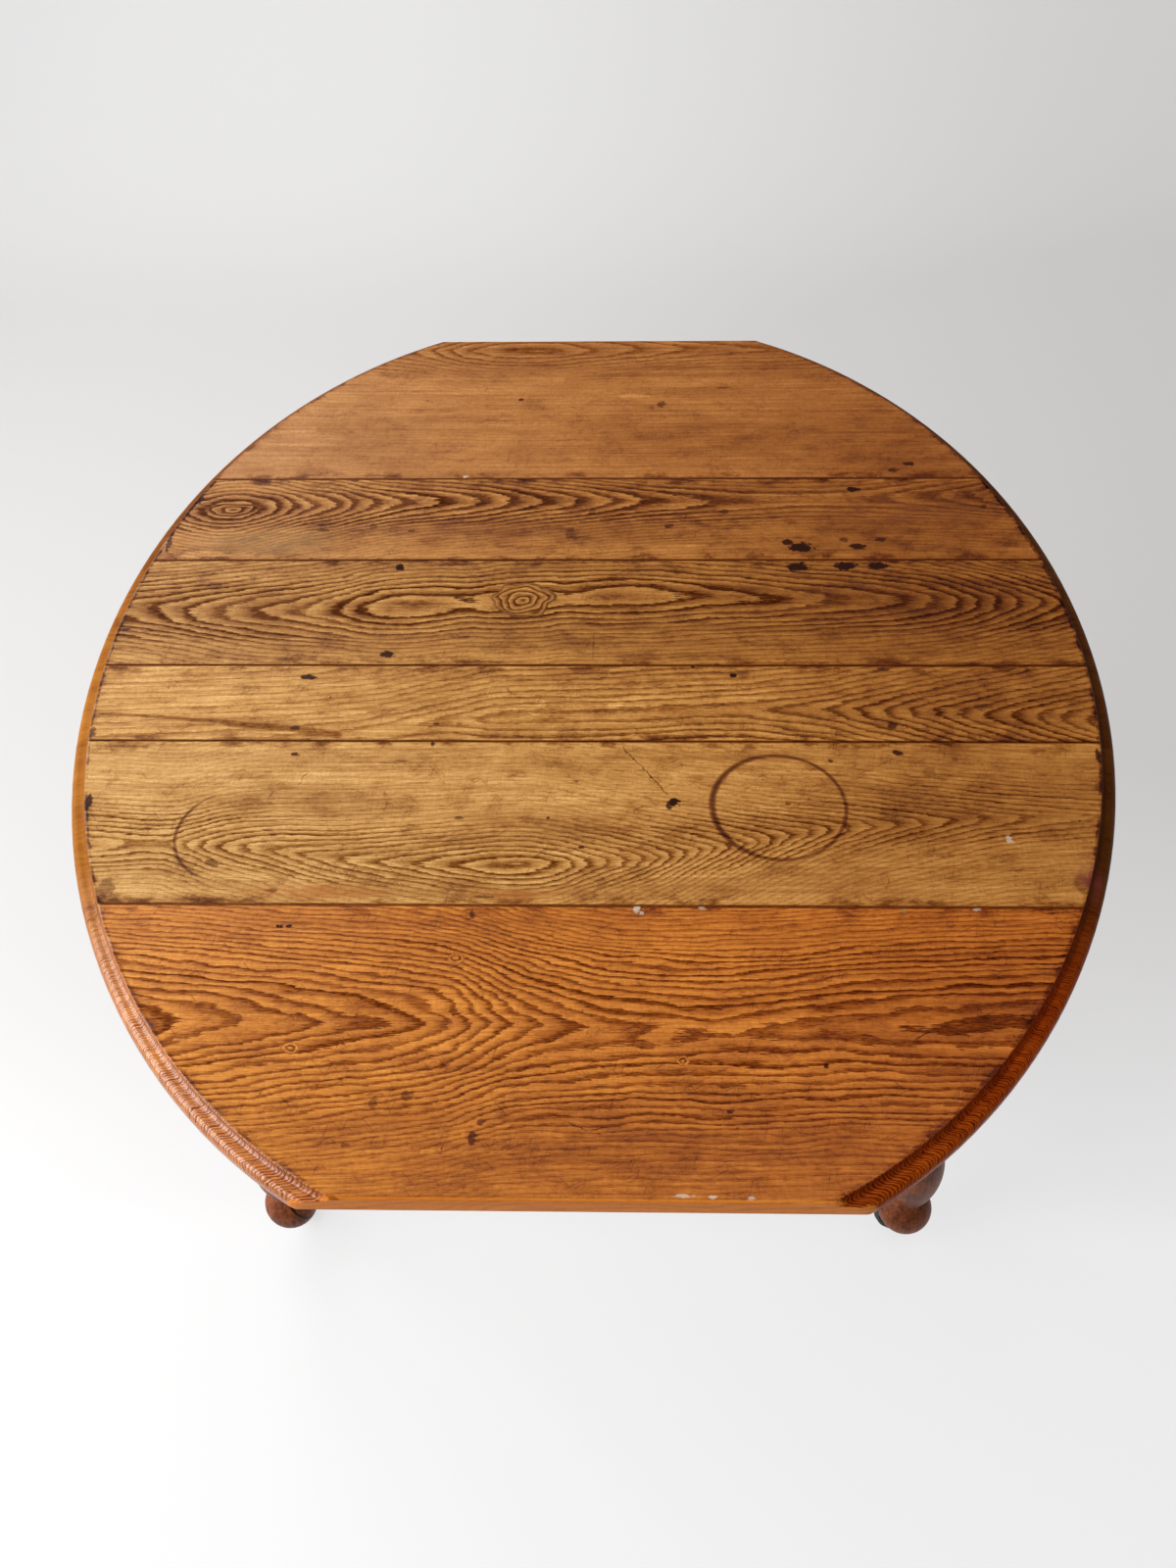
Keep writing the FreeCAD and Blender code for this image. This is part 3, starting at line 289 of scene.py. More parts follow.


# The boards of the top, each measured on the photographed table in millimetres; strengths are up to 1.
# Figure: rings is the growth ring met at each x along the figure's axis, axis the y of that axis, up and
# down the ring widths on its two sides, round how blunt the figure's tips are, growth the way the rings
# grow, finer how they narrow outwards, waver how far rings stray and over what length and width, drift how
# far the axis wanders, and band how far into a ring its dark line and its soft side reach. Its strength is
# contrast, faded by fade with the distance from the axis and by figure_x along the board.
# Colour: light is the clean wood, stain its even darkening in layers of brown, grime the soaked-in dirt,
# gloss the roughness of the varnish, and joints the y of the joints at the board's long edges.
# Marks: shades, flames, spots and flecks are (x, y, half width, half depth, strength), and tints have a
# colour as well; shades are clouding, but the large ones near each board's right end, at x from 330 to 400,
# are painted shade on the table's darker right. Lines and scratches are (x, y, end x, end y, half width,
# strength), knots (x, y, half width, half depth, rings), and rings_left (x, y, radius, width, strength,
# heavy side, least strength).
BOARDS = {
    "leaf_near": {
        "seed": 3.0,
        "light": (0.660, 0.232, 0.034), "stain": 0.16, "contrast": 3.0,
        "rings": [(-500, 10.8), (-430, 11.2), (-322, 13), (-270, 14), (-220, 15), (-158, 16.2),
                  (-114, 17.6), (-82, 19.6), (-50, 21.6), (-5, 23), (50, 23.8), (100, 24), (190, 23.6),
                  (270, 23.1), (340, 22.8), (500, 22)],
        "axis": [(-500, -396), (-330, -395), (-110, -393), (70, -404), (220, -396), (500, -390)],
        "up": 6.4, "down": 6.8, "round": 4.0, "growth": -1.0,
        "finer": 0.016, "waver": (2.2, 70.0, 17.0), "drift": 9.0,
        "band": (0.28, 0.78),
        "fade": [(-250, 0.25), (-150, 0.25), (-114, 0.35), (-89, 0.5), (-50, 0.9), (55, 1), (80, 0.65),
                 (114, 0.45), (200, 0.45)],
        "grime": 0.4, "gloss": 0.40,
        "joints": (-seam_y,),
        "shades": [(-100, -300, 330, 26, 0.3), (60, -505, 330, 60, 0.6), (330, -400, 150, 130, 0.35)],
        "spots": [(-82, -495, 4, 6, 0.7), (-76, -482, 4, 4, 0.6), (-135, -460, 5, 5, 0.55),
                  (-160, -467, 4, 5, 0.5), (-177, -500, 4, 4, 0.5), (112, -471, 3, 2.5, 0.8),
                  (188, -431, 3, 3, 0.85), (-256, -304, 3.5, 2, 0.9), (-248, -304, 3, 2, 0.9),
                  (-96, -292, 2, 5, 0.6)],
        "scratches": [(-15, -480, 5, -488, 0.8, 0.7), (5, -488, 22, -482, 0.8, 0.7),
                      (215, -402, 245, -411, 1.0, 0.6), (255, -409, 275, -400, 1.0, 0.7)],
        "tints": [(265, -285, 1.6, 3, 0.8, (0.04, 0.28, 0.13))],
        "flecks": [(-479, -288, 6, 4, 0.5), (325, -284, 4, 2, 0.35), (42, -284, 3.5, 4, 0.6),
                   (46, -288, 2, 3, 0.5), (96, -283, 3, 2, 0.4), (75, -539, 9, 1.5, 0.5),
                   (96, -539, 3, 1.5, 0.6), (124, -540, 3, 1.5, 0.5)],
        "knots": [(-230, -419, 7, 5, 1.4), (-106, -335, 7, 5, 1.3), (77, -428, 5, 4, 1.2)],
    },
    "top_board_4": {
        "seed": 11.0,
        "light": (0.650, 0.345, 0.108), "stain": 0.20, "contrast": 3.1,
        "rings": [(-500, 16.4), (-430, 17.4), (-377, 18.2), (-350, 17), (-320, 15), (-270, 13),
                  (-205, 11), (-140, 9), (-107, 8), (-65, 7.2), (-32, 8), (0, 10), (45, 13), (120, 19),
                  (175, 23), (245, 27), (315, 30), (377, 32), (500, 34)],
        "axis": [(-500, -219), (-375, -219), (-320, -220), (-205, -234), (-65, -240), (15, -236),
                 (115, -219), (165, -209), (240, -196), (315, -190), (377, -187), (500, -186)],
        "up": 5.2, "down": 5.2, "round": 1.2, "growth": 1.0,
        "waver": (1.1, 60.0, 9.0), "drift": 5.0,
        "band": (0.24, 0.70),
        "fade": [(-150, 0.22), (-100, 0.22), (-42, 0.3), (-27, 0.5), (-12, 1), (20, 1), (32, 0.7),
                 (46, 0.4), (64, 0.22), (100, 0.16), (200, 0.16)],
        "figure_x": [(-500, 0.8), (-380, 1), (330, 1), (420, 0.6), (500, 0.5)],
        "grime": 0.75, "gloss": 0.50,
        "joints": (joint_ys[2], -seam_y),
        "shades": [(-245, -172, 110, 26, 0.5), (-20, -200, 190, 22, 0.45), (-60, -120, 420, 18, 0.35),
                   (330, -170, 190, 100, 0.5), (-110, -268, 300, 14, 0.4), (230, -245, 90, 20, 0.4)],
        "spots": [(75, -170, 5, 5, 1.0), (71, -173, 3, 6, 0.8), (-271, -115, 4, 2.5, 0.8),
                  (279, -111, 5, 3.5, 0.85), (-6, -221, 2.5, 2, 0.8), (-448, -172, 4, 11, 0.85),
                  (-410, -265, 9, 12, 0.5), (460, -115, 3, 9, 0.8), (418, -257, 9, 12, 0.45),
                  (-325, -238, 7, 5, 0.5), (-115, -189, 4, 2, 0.6), (-36, -188, 2, 2, 0.7),
                  (-12, -145, 2.5, 2.5, 0.5), (305, -135, 7, 6, 0.4), (218, -121, 3, 3, 0.7),
                  (-268, -268, 8, 2.5, 0.6), (-88, -273, 9, 2, 0.6), (12, -258, 5, 9, 0.35),
                  (-410, -105, 4, 3, 0.4), (-145, -101, 2, 4, 0.8), (-171, -123, 8, 2, 0.5),
                  (330, -118, 3, 3, 0.4), (176, -172, 3, 3, 0.6)],
        "scratches": [(28, -102, 72, -164, 0.7, 0.8), (-263, -155, -255, -132, 0.8, 0.5),
                      (80, -170, 110, -176, 3.0, 0.2), (-195, -125, -172, -125, 0.8, 0.7),
                      (-85, -196, -82, -202, 1, 0.7), (250, -268, 258, -248, 0.6, 0.5)],
        "flecks": [(364, -210, 3, 6, 0.45)],
        "tints": [(-447, -262, 10, 15, 0.8, (0.05, 0.02, 0.03)),
                  (428, -250, 14, 26, 0.9, (0.22, 0.04, 0.03)),
                  (-230, -269, 70, 8, 0.6, (0.45, 0.14, 0.02)),
                  (-60, -272, 50, 7, 0.5, (0.42, 0.13, 0.02)),
                  (200, -262, 120, 14, 0.35, (0.42, 0.15, 0.03))],
        "rings_left": [(168, -174, 59, 4.4, 3.4, (-1.0, 0.1), 0.7),
                       (-312, -208, 50, 2.6, 2.4, (-1.0, -0.1), 0.0)],
    },
    "top_board_3": {
        "seed": 23.0,
        "light": (0.610, 0.305, 0.084), "stain": 0.18, "contrast": 3.3,
        "rings": [(-500, 27.6), (-245, 26.5), (-135, 25.7), (-106, 25), (-90, 24.6), (15, 24.5),
                  (140, 24.4), (166, 24), (221, 23), (245, 22), (272, 21), (296, 20), (341, 18),
                  (389, 16), (434, 14), (500, 11)],
        "axis": [(-500, -104), (-245, -94), (-106, -70), (15, -66), (164, -58), (300, -61), (365, -65),
                 (434, -69), (500, -72)],
        "up": 7.2, "down": 7.0, "round": 1.5, "growth": -1.0,
        "waver": (1.0, 70.0, 9.0), "drift": 6.0,
        "band": (0.24, 0.62),
        "fade": [(-120, 1), (-38, 1), (2, 1), (22, 0.85), (47, 0.6), (80, 0.6), (150, 0.6)],
        "figure_x": [(-500, 0.4), (-250, 0.45), (-110, 0.7), (20, 0.9), (500, 1)],
        "grime": 0.7, "gloss": 0.50,
        "joints": (joint_ys[1], joint_ys[2]),
        "shades": [(-60, -15, 330, 16, 0.4), (350, -40, 200, 80, 0.55)],
        "spots": [(-272, -17, 8, 4, 0.9), (135, -13, 4, 3.5, 1.0), (277, -5, 6, 3, 0.5),
                  (88, 2, 4, 3, 0.9), (97, -3, 3, 2, 0.9), (279, -78, 6, 4, 0.7),
                  (365, -54, 10, 6, 0.45), (22, -11, 6, 3, 0.35), (-275, -82, 5, 3, 0.7),
                  (-145, -76, 2.5, 1.5, 0.7), (-464, -88, 5, 7, 0.6), (-123, -76, 3, 1.5, 0.5)],
        "scratches": [(-82, -28, -74, -42, 1.8, 0.5), (50, -18, 5, -60, 0.7, 0.3),
                      (-75, -55, -20, -57, 0.8, 0.4)],
        "flames": [(-62, -62, 20, 15, 0.5), (-48, -50, 7, 9, 0.55), (22, -52, 10, 8, 0.55)],
        "lines": [(-466, -64, -340, -74, 3.4, 0.5), (-350, -74, -228, -90, 5.5, 0.6),
                  (-275, -86, -228, -92, 7.0, 0.5)],
    },
    "top_board_2": {
        "seed": 37.0,
        "light": (0.510, 0.238, 0.056), "stain": 0.16, "contrast": 3.9,
        "rings": [(-500, 22.2), (-462, 21.6), (-435, 21), (-400, 20), (-367, 19), (-330, 18),
                  (-285, 17), (-250, 16), (-225, 15), (-190, 14.4), (-155, 14.6), (-125, 14.9),
                  (-100, 14.5), (-72, 14.4), (-45, 14.5), (-28, 14.8), (15, 14.5), (60, 14.6), (82, 15),
                  (160, 16), (230, 17), (300, 18), (335, 19), (360, 20), (400, 22), (440, 24),
                  (500, 27)],
        "axis": [(-500, 80), (-335, 75), (-225, 80), (-72, 90), (80, 96), (230, 92), (335, 90),
                 (500, 85)],
        "up": 5.6, "down": 5.6, "round": 5.0, "growth": 1.0,
        "waver": (1.1, 70.0, 11.0), "drift": 8.0,
        "band": (0.28, 0.84),
        "fade": [(-150, 0.2), (-93, 0.2), (-63, 0.3), (-43, 0.55), (-30, 1), (24, 1), (44, 0.6),
                 (67, 0.4), (150, 0.4)],
        "grime": 0.85, "gloss": 0.50,
        "joints": (joint_ys[0], joint_ys[1]),
        "shades": [(330, 80, 220, 120, 0.65), (40, 40, 240, 34, 0.5), (-60, 140, 330, 16, 0.4),
                   (-250, 30, 200, 25, 0.3)],
        "spots": [(-199, 139, 5, 6, 1.0), (-199, 14, 8, 5, 0.9), (208, 140, 14, 7, 1.0),
                  (256, 141, 14, 7, 1.0), (289, 141, 12, 6.5, 1.0), (26, 152, 4, 3, 0.7),
                  (145, 151, 6, 3, 0.6), (120, 0, 3, 3, 0.7), (-466, 83, 3, 6, 0.5),
                  (-462, 48, 5, 3, 0.7), (-78, 133, 12, 9, 0.35), (-385, 112, 12, 8, 0.3)],
        "scratches": [(1, 50, 1, 3, 0.8, 0.5), (336, 52, 337, 44, 1.0, 0.5),
                      (-90, 146, -78, 128, 0.9, 0.4)],
        "knots": [(-70, 91, 30, 23, 3.7)],
    },
    "top_board_1": {
        "seed": 53.0,
        "light": (0.510, 0.222, 0.054), "stain": 0.25, "contrast": 4.4,
        "rings": [(-500, 11), (-445, 8.6), (-415, 7), (-388, 6.3), (-361, 7), (-340, 8), (-325, 9),
                  (-305, 10), (-276, 11), (-259, 12), (-238, 13), (-211, 14), (-169, 15), (-124, 16),
                  (-91, 17), (-58, 18), (-20, 19), (20, 20.2), (77, 21.5), (240, 22.6), (365, 21),
                  (405, 20), (440, 19), (500, 17)],
        "axis": [(-500, 229), (-388, 231), (-340, 235), (-265, 239), (-135, 244), (115, 244),
                 (240, 246), (415, 252), (500, 254)],
        "up": 5.0, "down": 4.7, "round": 5.0, "growth": 1.0,
        "waver": (0.9, 60.0, 9.0), "drift": 7.0,
        "band": (0.36, 0.90),
        "fade": [(-150, 0.12), (-98, 0.12), (-53, 0.2), (-36, 0.5), (-25, 1), (13, 1), (25, 0.6),
                 (47, 0.4), (120, 0.4)],
        "figure_x": [(-500, 0.8), (-430, 1), (50, 1), (150, 0.7), (300, 0.5), (500, 0.9)],
        "grime": 1.2, "gloss": 0.50,
        "joints": (seam_y, joint_ys[0]),
        "shades": [(-60, 195, 330, 30, 0.65), (330, 190, 190, 60, 0.7), (-330, 180, 110, 30, 0.4),
                   (100, 270, 320, 14, 0.4), (400, 230, 120, 70, 0.5)],
        "spots": [(276, 264, 8, 4.5, 1.0), (213, 170, 14, 9, 1.0), (200, 178, 7, 5, 0.9),
                  (271, 171, 9, 5, 0.9), (258, 181, 5, 4, 0.6), (296, 182, 7, 4, 0.7),
                  (-286, 198, 8, 3, 0.6), (-290, 207, 5, 2, 0.6), (-3, 228, 5, 7, 0.5),
                  (137, 227, 6, 5, 0.6), (77, 203, 5, 4, 0.7), (-234, 203, 4, 6, 0.5),
                  (-193, 196, 4, 3, 0.6), (-425, 258, 4, 20, 0.85), (-433, 238, 4, 10, 0.9),
                  (-445, 180, 3, 22, 0.7), (-25, 190, 6, 12, 0.45), (410, 234, 4, 4, 0.6),
                  (143, 150, 7, 3, 0.6)],
        "scratches": [(128, 284, 127, 268, 0.9, 0.7), (106, 199, 103, 180, 0.9, 0.5),
                      (70, 221, 132, 230, 2.4, 0.5), (0, 214, 75, 221, 2.0, 0.4)],
        "flecks": [(-142, 287, 3, 3, 0.4)],
        "tints": [(-340, 180, 90, 26, 0.4, (0.26, 0.16, 0.045)),
                  (330, 225, 120, 24, 0.3, (0.30, 0.09, 0.02))],
        "knots": [(-387, 231, 26, 11, 2.4)],
    },
    "leaf_far": {
        "seed": 71.0,
        "light": (0.450, 0.180, 0.045), "stain": 0.14, "contrast": 1.7,
        "rings": [(-500, 20), (-260, 15), (-215, 14), (-190, 13), (-170, 12), (-146, 11), (-80, 10.1),
                  (-14, 11), (40, 12), (94, 13), (184, 14), (280, 15), (500, 18)],
        "axis": [(-500, 512), (-220, 520), (-56, 523), (110, 524), (200, 522), (500, 510)],
        "up": 6.0, "down": 6.4, "round": 2.5, "growth": 1.0,
        "waver": (0.8, 90.0, 14.0), "drift": 6.0,
        "band": (0.22, 0.74),
        "fade": [(-350, 0.1), (-103, 0.1), (-53, 0.2), (-33, 0.75), (-15, 1), (37, 1), (120, 1)],
        "grime": 0.4, "gloss": 0.46,
        "joints": (seam_y,),
        "shades": [(120, 350, 260, 60, 0.35), (-230, 340, 90, 60, 0.3), (20, 480, 330, 22, 0.3),
                   (330, 330, 120, 90, 0.4)],
        "spots": [(73, 415, 6, 6, 0.6), (-88, 424, 3, 3, 0.8), (144, 447, 8, 2, 0.5),
                  (340, 307, 7, 4, 0.8), (322, 296, 7, 4, 0.7), (62, 410, 3, 4, 0.4),
                  (-20, 388, 5, 9, 0.3)],
        "scratches": [(-255, 400, -265, 330, 2.2, 0.12), (-190, 370, -200, 325, 2.2, 0.12),
                      (-180, 420, -175, 470, 2.0, 0.1), (-95, 336, -97, 305, 1.0, 0.35),
                      (128, 285, 129, 270, 0.9, 0.3), (-320, 438, -308, 424, 1.2, 0.25)],
        "flecks": [(-142, 286, 3, 3, 0.5)],
        "flames": [(40, 430, 26, 4, 0.5), (-45, 462, 9, 5, 0.3)],
    },
}


def tinted(colour, shares):
    """A colour with each of its parts taken at a share."""
    return tuple(part * share for part, share in zip(colour, shares))


class Board(Net):
    """Old varnished, strong-grained wood of one board of the top."""

    def __init__(self, name, look):
        super().__init__("wood_" + name)
        self.look = look
        self.seed = look["seed"]
        self.depth = top_height - self.z
        self.add_fields()
        self.add_regions()

    def field(self, long, wide, detail, roughness):
        """Noise of a size along and across the grain, carried on through the board's thickness."""
        return self.noise(self.x / long, self.y / wide, self.depth / wide + self.seed, detail, roughness)

    def add_fields(self):
        """The board's random fields, from clouding to single pores, and points that fray its marks."""
        self.mottle = self.field(60.0, 30.0, 5.0, 0.62)
        self.ragged = self.field(6.0, 5.0, 3.0, 0.6)
        self.streak = self.field(260.0, 4.0, 4.0, 0.62)
        self.fibre = self.field(45.0, 0.8, 3.0, 0.65)
        self.silk = self.field(2.4, 8.0, 2.0, 0.5)
        self.pores = self.ramp(self.field(8.0, 0.9, 2.0, 0.6), 0.46, 0.66)
        self.blotch = self.noise(self.x / 34.0, self.y / 17.0, self.seed * 1.7, detail=6.0, roughness=0.68)
        jitter = self.vector((self.ragged - 0.5) * 9.0, (self.mottle - 0.5) * 8.0, 0.0)
        self.frayed = self.vector_math("ADD", self.point, jitter)
        self.rough_edge = (self.ragged - 0.5) * 1.7

    def add_regions(self):
        """Masks of the upper face, underside, straight ends and moulded rim, and of the table's sides."""
        self.upper = self.ramp(self.facing[2], 0.75, 0.95)
        self.under = self.ramp(self.facing[2], -0.3, -0.8)
        at_end = self.ramp(abs(self.y), end_y - end_upper_radius, end_y - 1.5)
        self.ends = at_end * self.ramp(abs(self.facing[1]), 0.3, 0.65)
        self.outside = self.rim_distance()
        self.rim = self.ramp(self.outside, -0.4, 0.6) * (1.0 - self.ends)
        self.right = self.ramp(self.x, -480.0, 480.0)
        self.near = self.ramp(self.y, -230.0, -400.0)
        self.far = self.ramp(self.y, 20.0, 260.0)

    def rim_distance(self):
        """How far outside the inner line of the moulding a point is, in millimetres."""
        x, y = self.x / rim_inner_x, self.y / rim_inner_y
        reach = self.math("SQRT", x * x + y * y)
        slope_x, slope_y = x / rim_inner_x, y / rim_inner_y
        slope = self.math("SQRT", slope_x * slope_x + slope_y * slope_y)
        return reach * (reach - 1.0) / slope

    def growth_rings(self):
        """The growth ring at each point, the distance from the figure's axis, and a mask of its middle."""
        look = self.look
        drift = self.noise(self.x / 150.0, self.y / 45.0, self.seed + 5.0, detail=2.0)
        offset = self.y + (drift - 0.5) * look["drift"] - self.curve(self.x, look["axis"])
        across = self.math("MAXIMUM", offset / look["up"], offset / -look["down"])
        blunt = look["round"]
        outward = self.math("SQRT", across * across + blunt * blunt) - blunt
        if "finer" in look:
            outward = outward * (outward * look["finer"] + 1.0)
        stray, long, wide = look["waver"]
        waver = (self.field(long, wide, 3.0, 0.5) - 0.5) * stray
        fray = (self.field(11.0, 1.3, 2.0, 0.5) - 0.5) * 0.6
        rings = self.curve(self.x, look["rings"]) + self.depth * 0.12 + outward + waver + fray
        for knot in look.get("knots", ()):
            rings = self.with_knot(rings, *knot)
        return rings, offset, self.ramp(across, 9.0, 2.0)

    def with_knot(self, rings, x, y, wide, deep, count):
        """The growth rings with the round ones of a knot set into them."""
        lumpy = self.noise(self.x / (wide * 0.8), self.y / (deep * 0.8), self.seed + 3.0, detail=1.0)
        away = self.away(self.point, x, y, wide, deep) + (lumpy - 0.5) * 0.7
        inside = self.ramp(away, 1.06, 0.94)
        return rings * (1.0 - inside) + (away * count + 20.2) * inside

    def ring_bands(self):
        """How dark each ring's open-pored band is: one sharp edge, a dark line and a soft fading side."""
        look = self.look
        rings, offset, middle = self.growth_rings()
        rings = rings * look["growth"] + 100.0
        ring = self.math("FLOOR", rings)
        phase = self.math("FRACT", rings)
        full, gone = look["band"]
        strength = self.hashed(ring, self.seed) * 0.45 + 0.55
        spread = self.hashed(ring, self.seed + 7.0) * 0.3 + middle * 0.2 + (gone - 0.2)
        line = self.ramp(phase, full + 0.16, full)
        band = self.ramp(phase, 0.0, 0.07) * (line * 0.45 + self.ramp(phase, spread, 0.12) * 0.6)
        fade = self.curve(offset, look["fade"])
        if "figure_x" in look:
            fade = fade * self.curve(self.x, look["figure_x"])
        return band * strength * fade

    def figure(self):
        """The ring bands, and the grain that bands, fibres and pores make together, in layers of brown."""
        look = self.look
        band = self.ring_bands()
        if "lines" in look:
            band = self.largest([band, self.scratches(self.frayed, look["lines"])])
        grain = band * (0.45 + 0.5 * self.fibre + 0.7 * self.pores) * look["contrast"] + self.pores * 0.35
        grain = grain + (self.streak - 0.5) * 2.4 + (self.fibre - 0.5) * 1.7 + (self.silk - 0.5) * 0.7
        if "flames" in look:
            grain = grain - self.spots(self.frayed, look["flames"], 1.1, 0.4)
        return band, grain

    def marks(self):
        """Single ink spots and scratches."""
        spots = self.spots(self.frayed, self.look["spots"], 1.10, 0.65, self.rough_edge)
        cuts = self.scratches(self.frayed, self.look["scratches"])
        return self.largest([spots, cuts]) ** 2.0

    def wear(self):
        """Scattered specks and fine nicks."""
        specks = self.specks(13.0, 0.10, self.seed) + self.specks(5.0, 0.14, self.seed + 2.0) * 0.6
        nicks = [self.dashes(angle, 16.0, 0.9, self.seed + angle, 0.70, 0.76) for angle in (0.5, 1.3, 2.3)]
        nicked = self.largest(nicks) * self.ramp(self.blotch, 0.42, 0.62)
        return nicked + specks * self.ramp(self.blotch, 0.36, 0.6) * 2.5

    def dirt(self):
        """Clouding, dirt soaked in all over and next to the rim, the rings that glasses left, and painted
        shade that darkens the table's right.
        """
        # Painted shade in part: the large shades on each board's right darken it where the table lies in
        # shade.
        shades = self.spots(self.point, self.look["shades"], 1.25, 0.1)
        dirt = self.ramp(self.blotch, 0.50, 0.72, self.look["grime"])
        dirt = dirt + shades * self.ramp(self.blotch, 0.15, 0.62) * 1.6
        dirt = dirt + (self.mottle - 0.5) * 1.5 + (self.ragged - 0.5) * 0.5
        # Painted shade: the table's right side is darkened with more layers of brown.
        dirt = dirt + self.ramp(self.x, -50.0, 450.0, 0.4)
        dirt = dirt + self.ramp(self.outside, -9.0, 0.0) * self.ramp(self.blotch, 0.45, 0.7) * 1.5
        for ring in self.look.get("rings_left", ()):
            dirt = dirt + self.glass_ring(*ring)
        return dirt

    def glass_ring(self, x, y, radius, wide, strength, side, least):
        """The ring that a glass left, heaviest towards one side."""
        offset = self.vector_math("SUBTRACT", self.point, (x, y, 0))
        toward = (side[0] / radius, side[1] / radius, 0)
        turned = Value(self, self.vector_math("DOT_PRODUCT", offset, toward))
        heavy = self.ramp(turned, 0.1, 0.9, 1.0 - least) + least
        strayed = abs(self.away(self.point, x, y, 1.0, 1.0) - radius + (self.ragged - 0.5) * 1.2)
        trace = self.ramp(strayed, heavy * wide * (self.mottle + 0.5), 0.0, strength)
        return trace * heavy * self.ramp(self.blotch, 0.15, 0.5)

    def soil(self):
        """Dirt in and along the joints and on the moulding's inner edge."""
        soiled = []
        for joint in self.look["joints"]:
            gap = abs(self.y - joint + (self.ragged - 0.5) * 0.8)
            soiled.append(self.ramp(gap, 2.3, 0.4, 0.95))
            soiled.append(self.ramp(gap, 14.0, 0.0) * self.ramp(self.blotch, 0.45, 0.75) * 0.9)
        arris = self.ramp(abs(self.outside + (self.ragged - 0.5) * 6.0 + 0.8), 2.4, 0.6)
        soiled.append(arris * self.ramp(self.blotch, 0.36, 0.60) * self.look["grime"])
        return self.largest(soiled) * self.ramp(self.facing[2], 0.0, 0.5) * (1.0 - self.rim * 0.9)

    def end_grain(self):
        """The stripes of end grain on the moulded rim."""
        along = (self.y + self.depth * 0.8) / 1.9 + 1000.0
        stripes = along + (self.streak - 0.5) * 2.5 + (self.ragged - 0.5) * 0.4
        phase = self.math("FRACT", stripes)
        stripe = self.ramp(phase, 0.0, 0.25) * self.ramp(phase, 0.85, 0.4)
        return stripe * (self.hashed(self.math("FLOOR", stripes), self.seed + 4.0) * 0.7 + 0.3)

    def clean_wood(self):
        """The wood's colour with painted light: a painted sheen makes it yellower on the left and painted
        shade redder on the right, the rim is lit on the left and in painted shade on the right, and the ends
        are brighter with a painted highlight.
        """
        light = self.look["light"]
        # Painted light: a painted sheen makes the left yellower and painted shade makes the right redder.
        flat = self.blend(self.right, tinted(light, LEFT_PAINTED_SHEEN), tinted(light, RIGHT_PAINTED_SHADE))
        # Painted shade: the rim's colour turns darker and redder towards the right, away from the light.
        near_rim = self.blend(self.right, RIM_NEAR_LEFT_LIT, RIM_NEAR_RIGHT_SHADED)
        far_rim = self.blend(self.right, RIM_FAR_LEFT_LIT, RIM_FAR_RIGHT_SHADED)
        rim = self.blend(self.near, far_rim, near_rim)
        # Painted highlight: the straight ends and their rounded upper edges get a brighter orange colour.
        return self.blend(self.ends, self.blend(self.rim, flat, rim), END_WOOD_HIGHLIT)

    def rim_layers(self, stripe):
        """Layers of brown over the rim: stripes, its cove darkened partly by dirt and partly as painted
        shade, painted shade over its right, and a darker far left.
        """
        # Partly dirt and partly painted shade: the cove darkens most on the right, where it faces away from
        # the light.
        cove_dirt_and_shade = self.ramp(abs(self.outside - 2.6), 4.0, 0.8) * (self.right * 0.8 + 0.2)
        layers = stripe * (self.near * 1.6 + self.right * 0.6 + 0.5) + cove_dirt_and_shade * 1.1
        layers = layers + (self.mottle - 0.5) * 1.5
        # Painted shade: more brown on the rim's right.
        return layers + self.right * 0.3 + self.far * (1.0 - self.right) * 1.1

    def with_marks(self, colour, marks):
        """A colour with the rim's rubbed edge, a pale line that is partly wear and partly a painted
        highlight, single tints, ink and flecks of paint on it.
        """
        # Partly a painted highlight: the pale line along the rim's inner arris is drawn only on the left,
        # where the light falls.
        rubbed = self.ramp(abs(self.outside + 0.4), 1.2, 0.3, 0.2) * self.ramp(self.mottle, 0.45, 0.65)
        colour = self.blend(rubbed * (1.0 - self.right), colour, PAINT)
        for *mark, tint in self.look.get("tints", ()):
            soaked = self.spots(self.frayed, [mark], 1.2, 0.3) * self.ramp(self.blotch, 0.3, 0.6)
            colour = self.blend(soaked * self.upper, colour, tint)
        colour = self.blend(marks * self.upper, colour, STAIN)
        if "flecks" in self.look:
            flecks = self.spots(self.frayed, self.look["flecks"], 1.15, 0.55, self.rough_edge)
            colour = self.blend(flecks * self.upper, colour, PAINT)
        return colour

    def underside(self, band):
        """Bare wood, with the joints as thin dark lines."""
        tone = self.fibre * 0.5 + band * 0.6 + (self.mottle - 0.5) * 0.9
        gaps = self.largest([self.ramp(abs(self.y - joint), 1.0, 0.3) for joint in self.look["joints"]])
        return self.blend(gaps, self.blend(tone, BARE, BARE_DARK), GRIME)

    def add_relief(self, band, worn, stripe):
        """Sunk pores and bands on the flat, and grooves between the rim's stripes."""
        relief = band * -0.8 - self.pores * band * 0.8 + self.fibre * 0.3 + self.silk * 0.2 - worn * 0.3
        self.bump(relief * (1.0 - self.rim) - self.rim * stripe * 0.35, 0.0003)

    def add_shine(self, dull, stripe):
        """Dull marks and bands; the varnish is glossiest on the rim's near left and worn off elsewhere."""
        varnish = self.ramp(self.x, 60.0, -260.0, 0.96) * self.near + 0.04
        dull = dull * (1.0 - self.rim) + self.rim * stripe
        shine = (varnish * self.rim + (1.0 - self.rim) * 0.22) * (1.0 - dull * 0.85)
        self.feed(self.shader.inputs["Specular IOR Level"], shine * (1.0 - self.ends * 0.7))

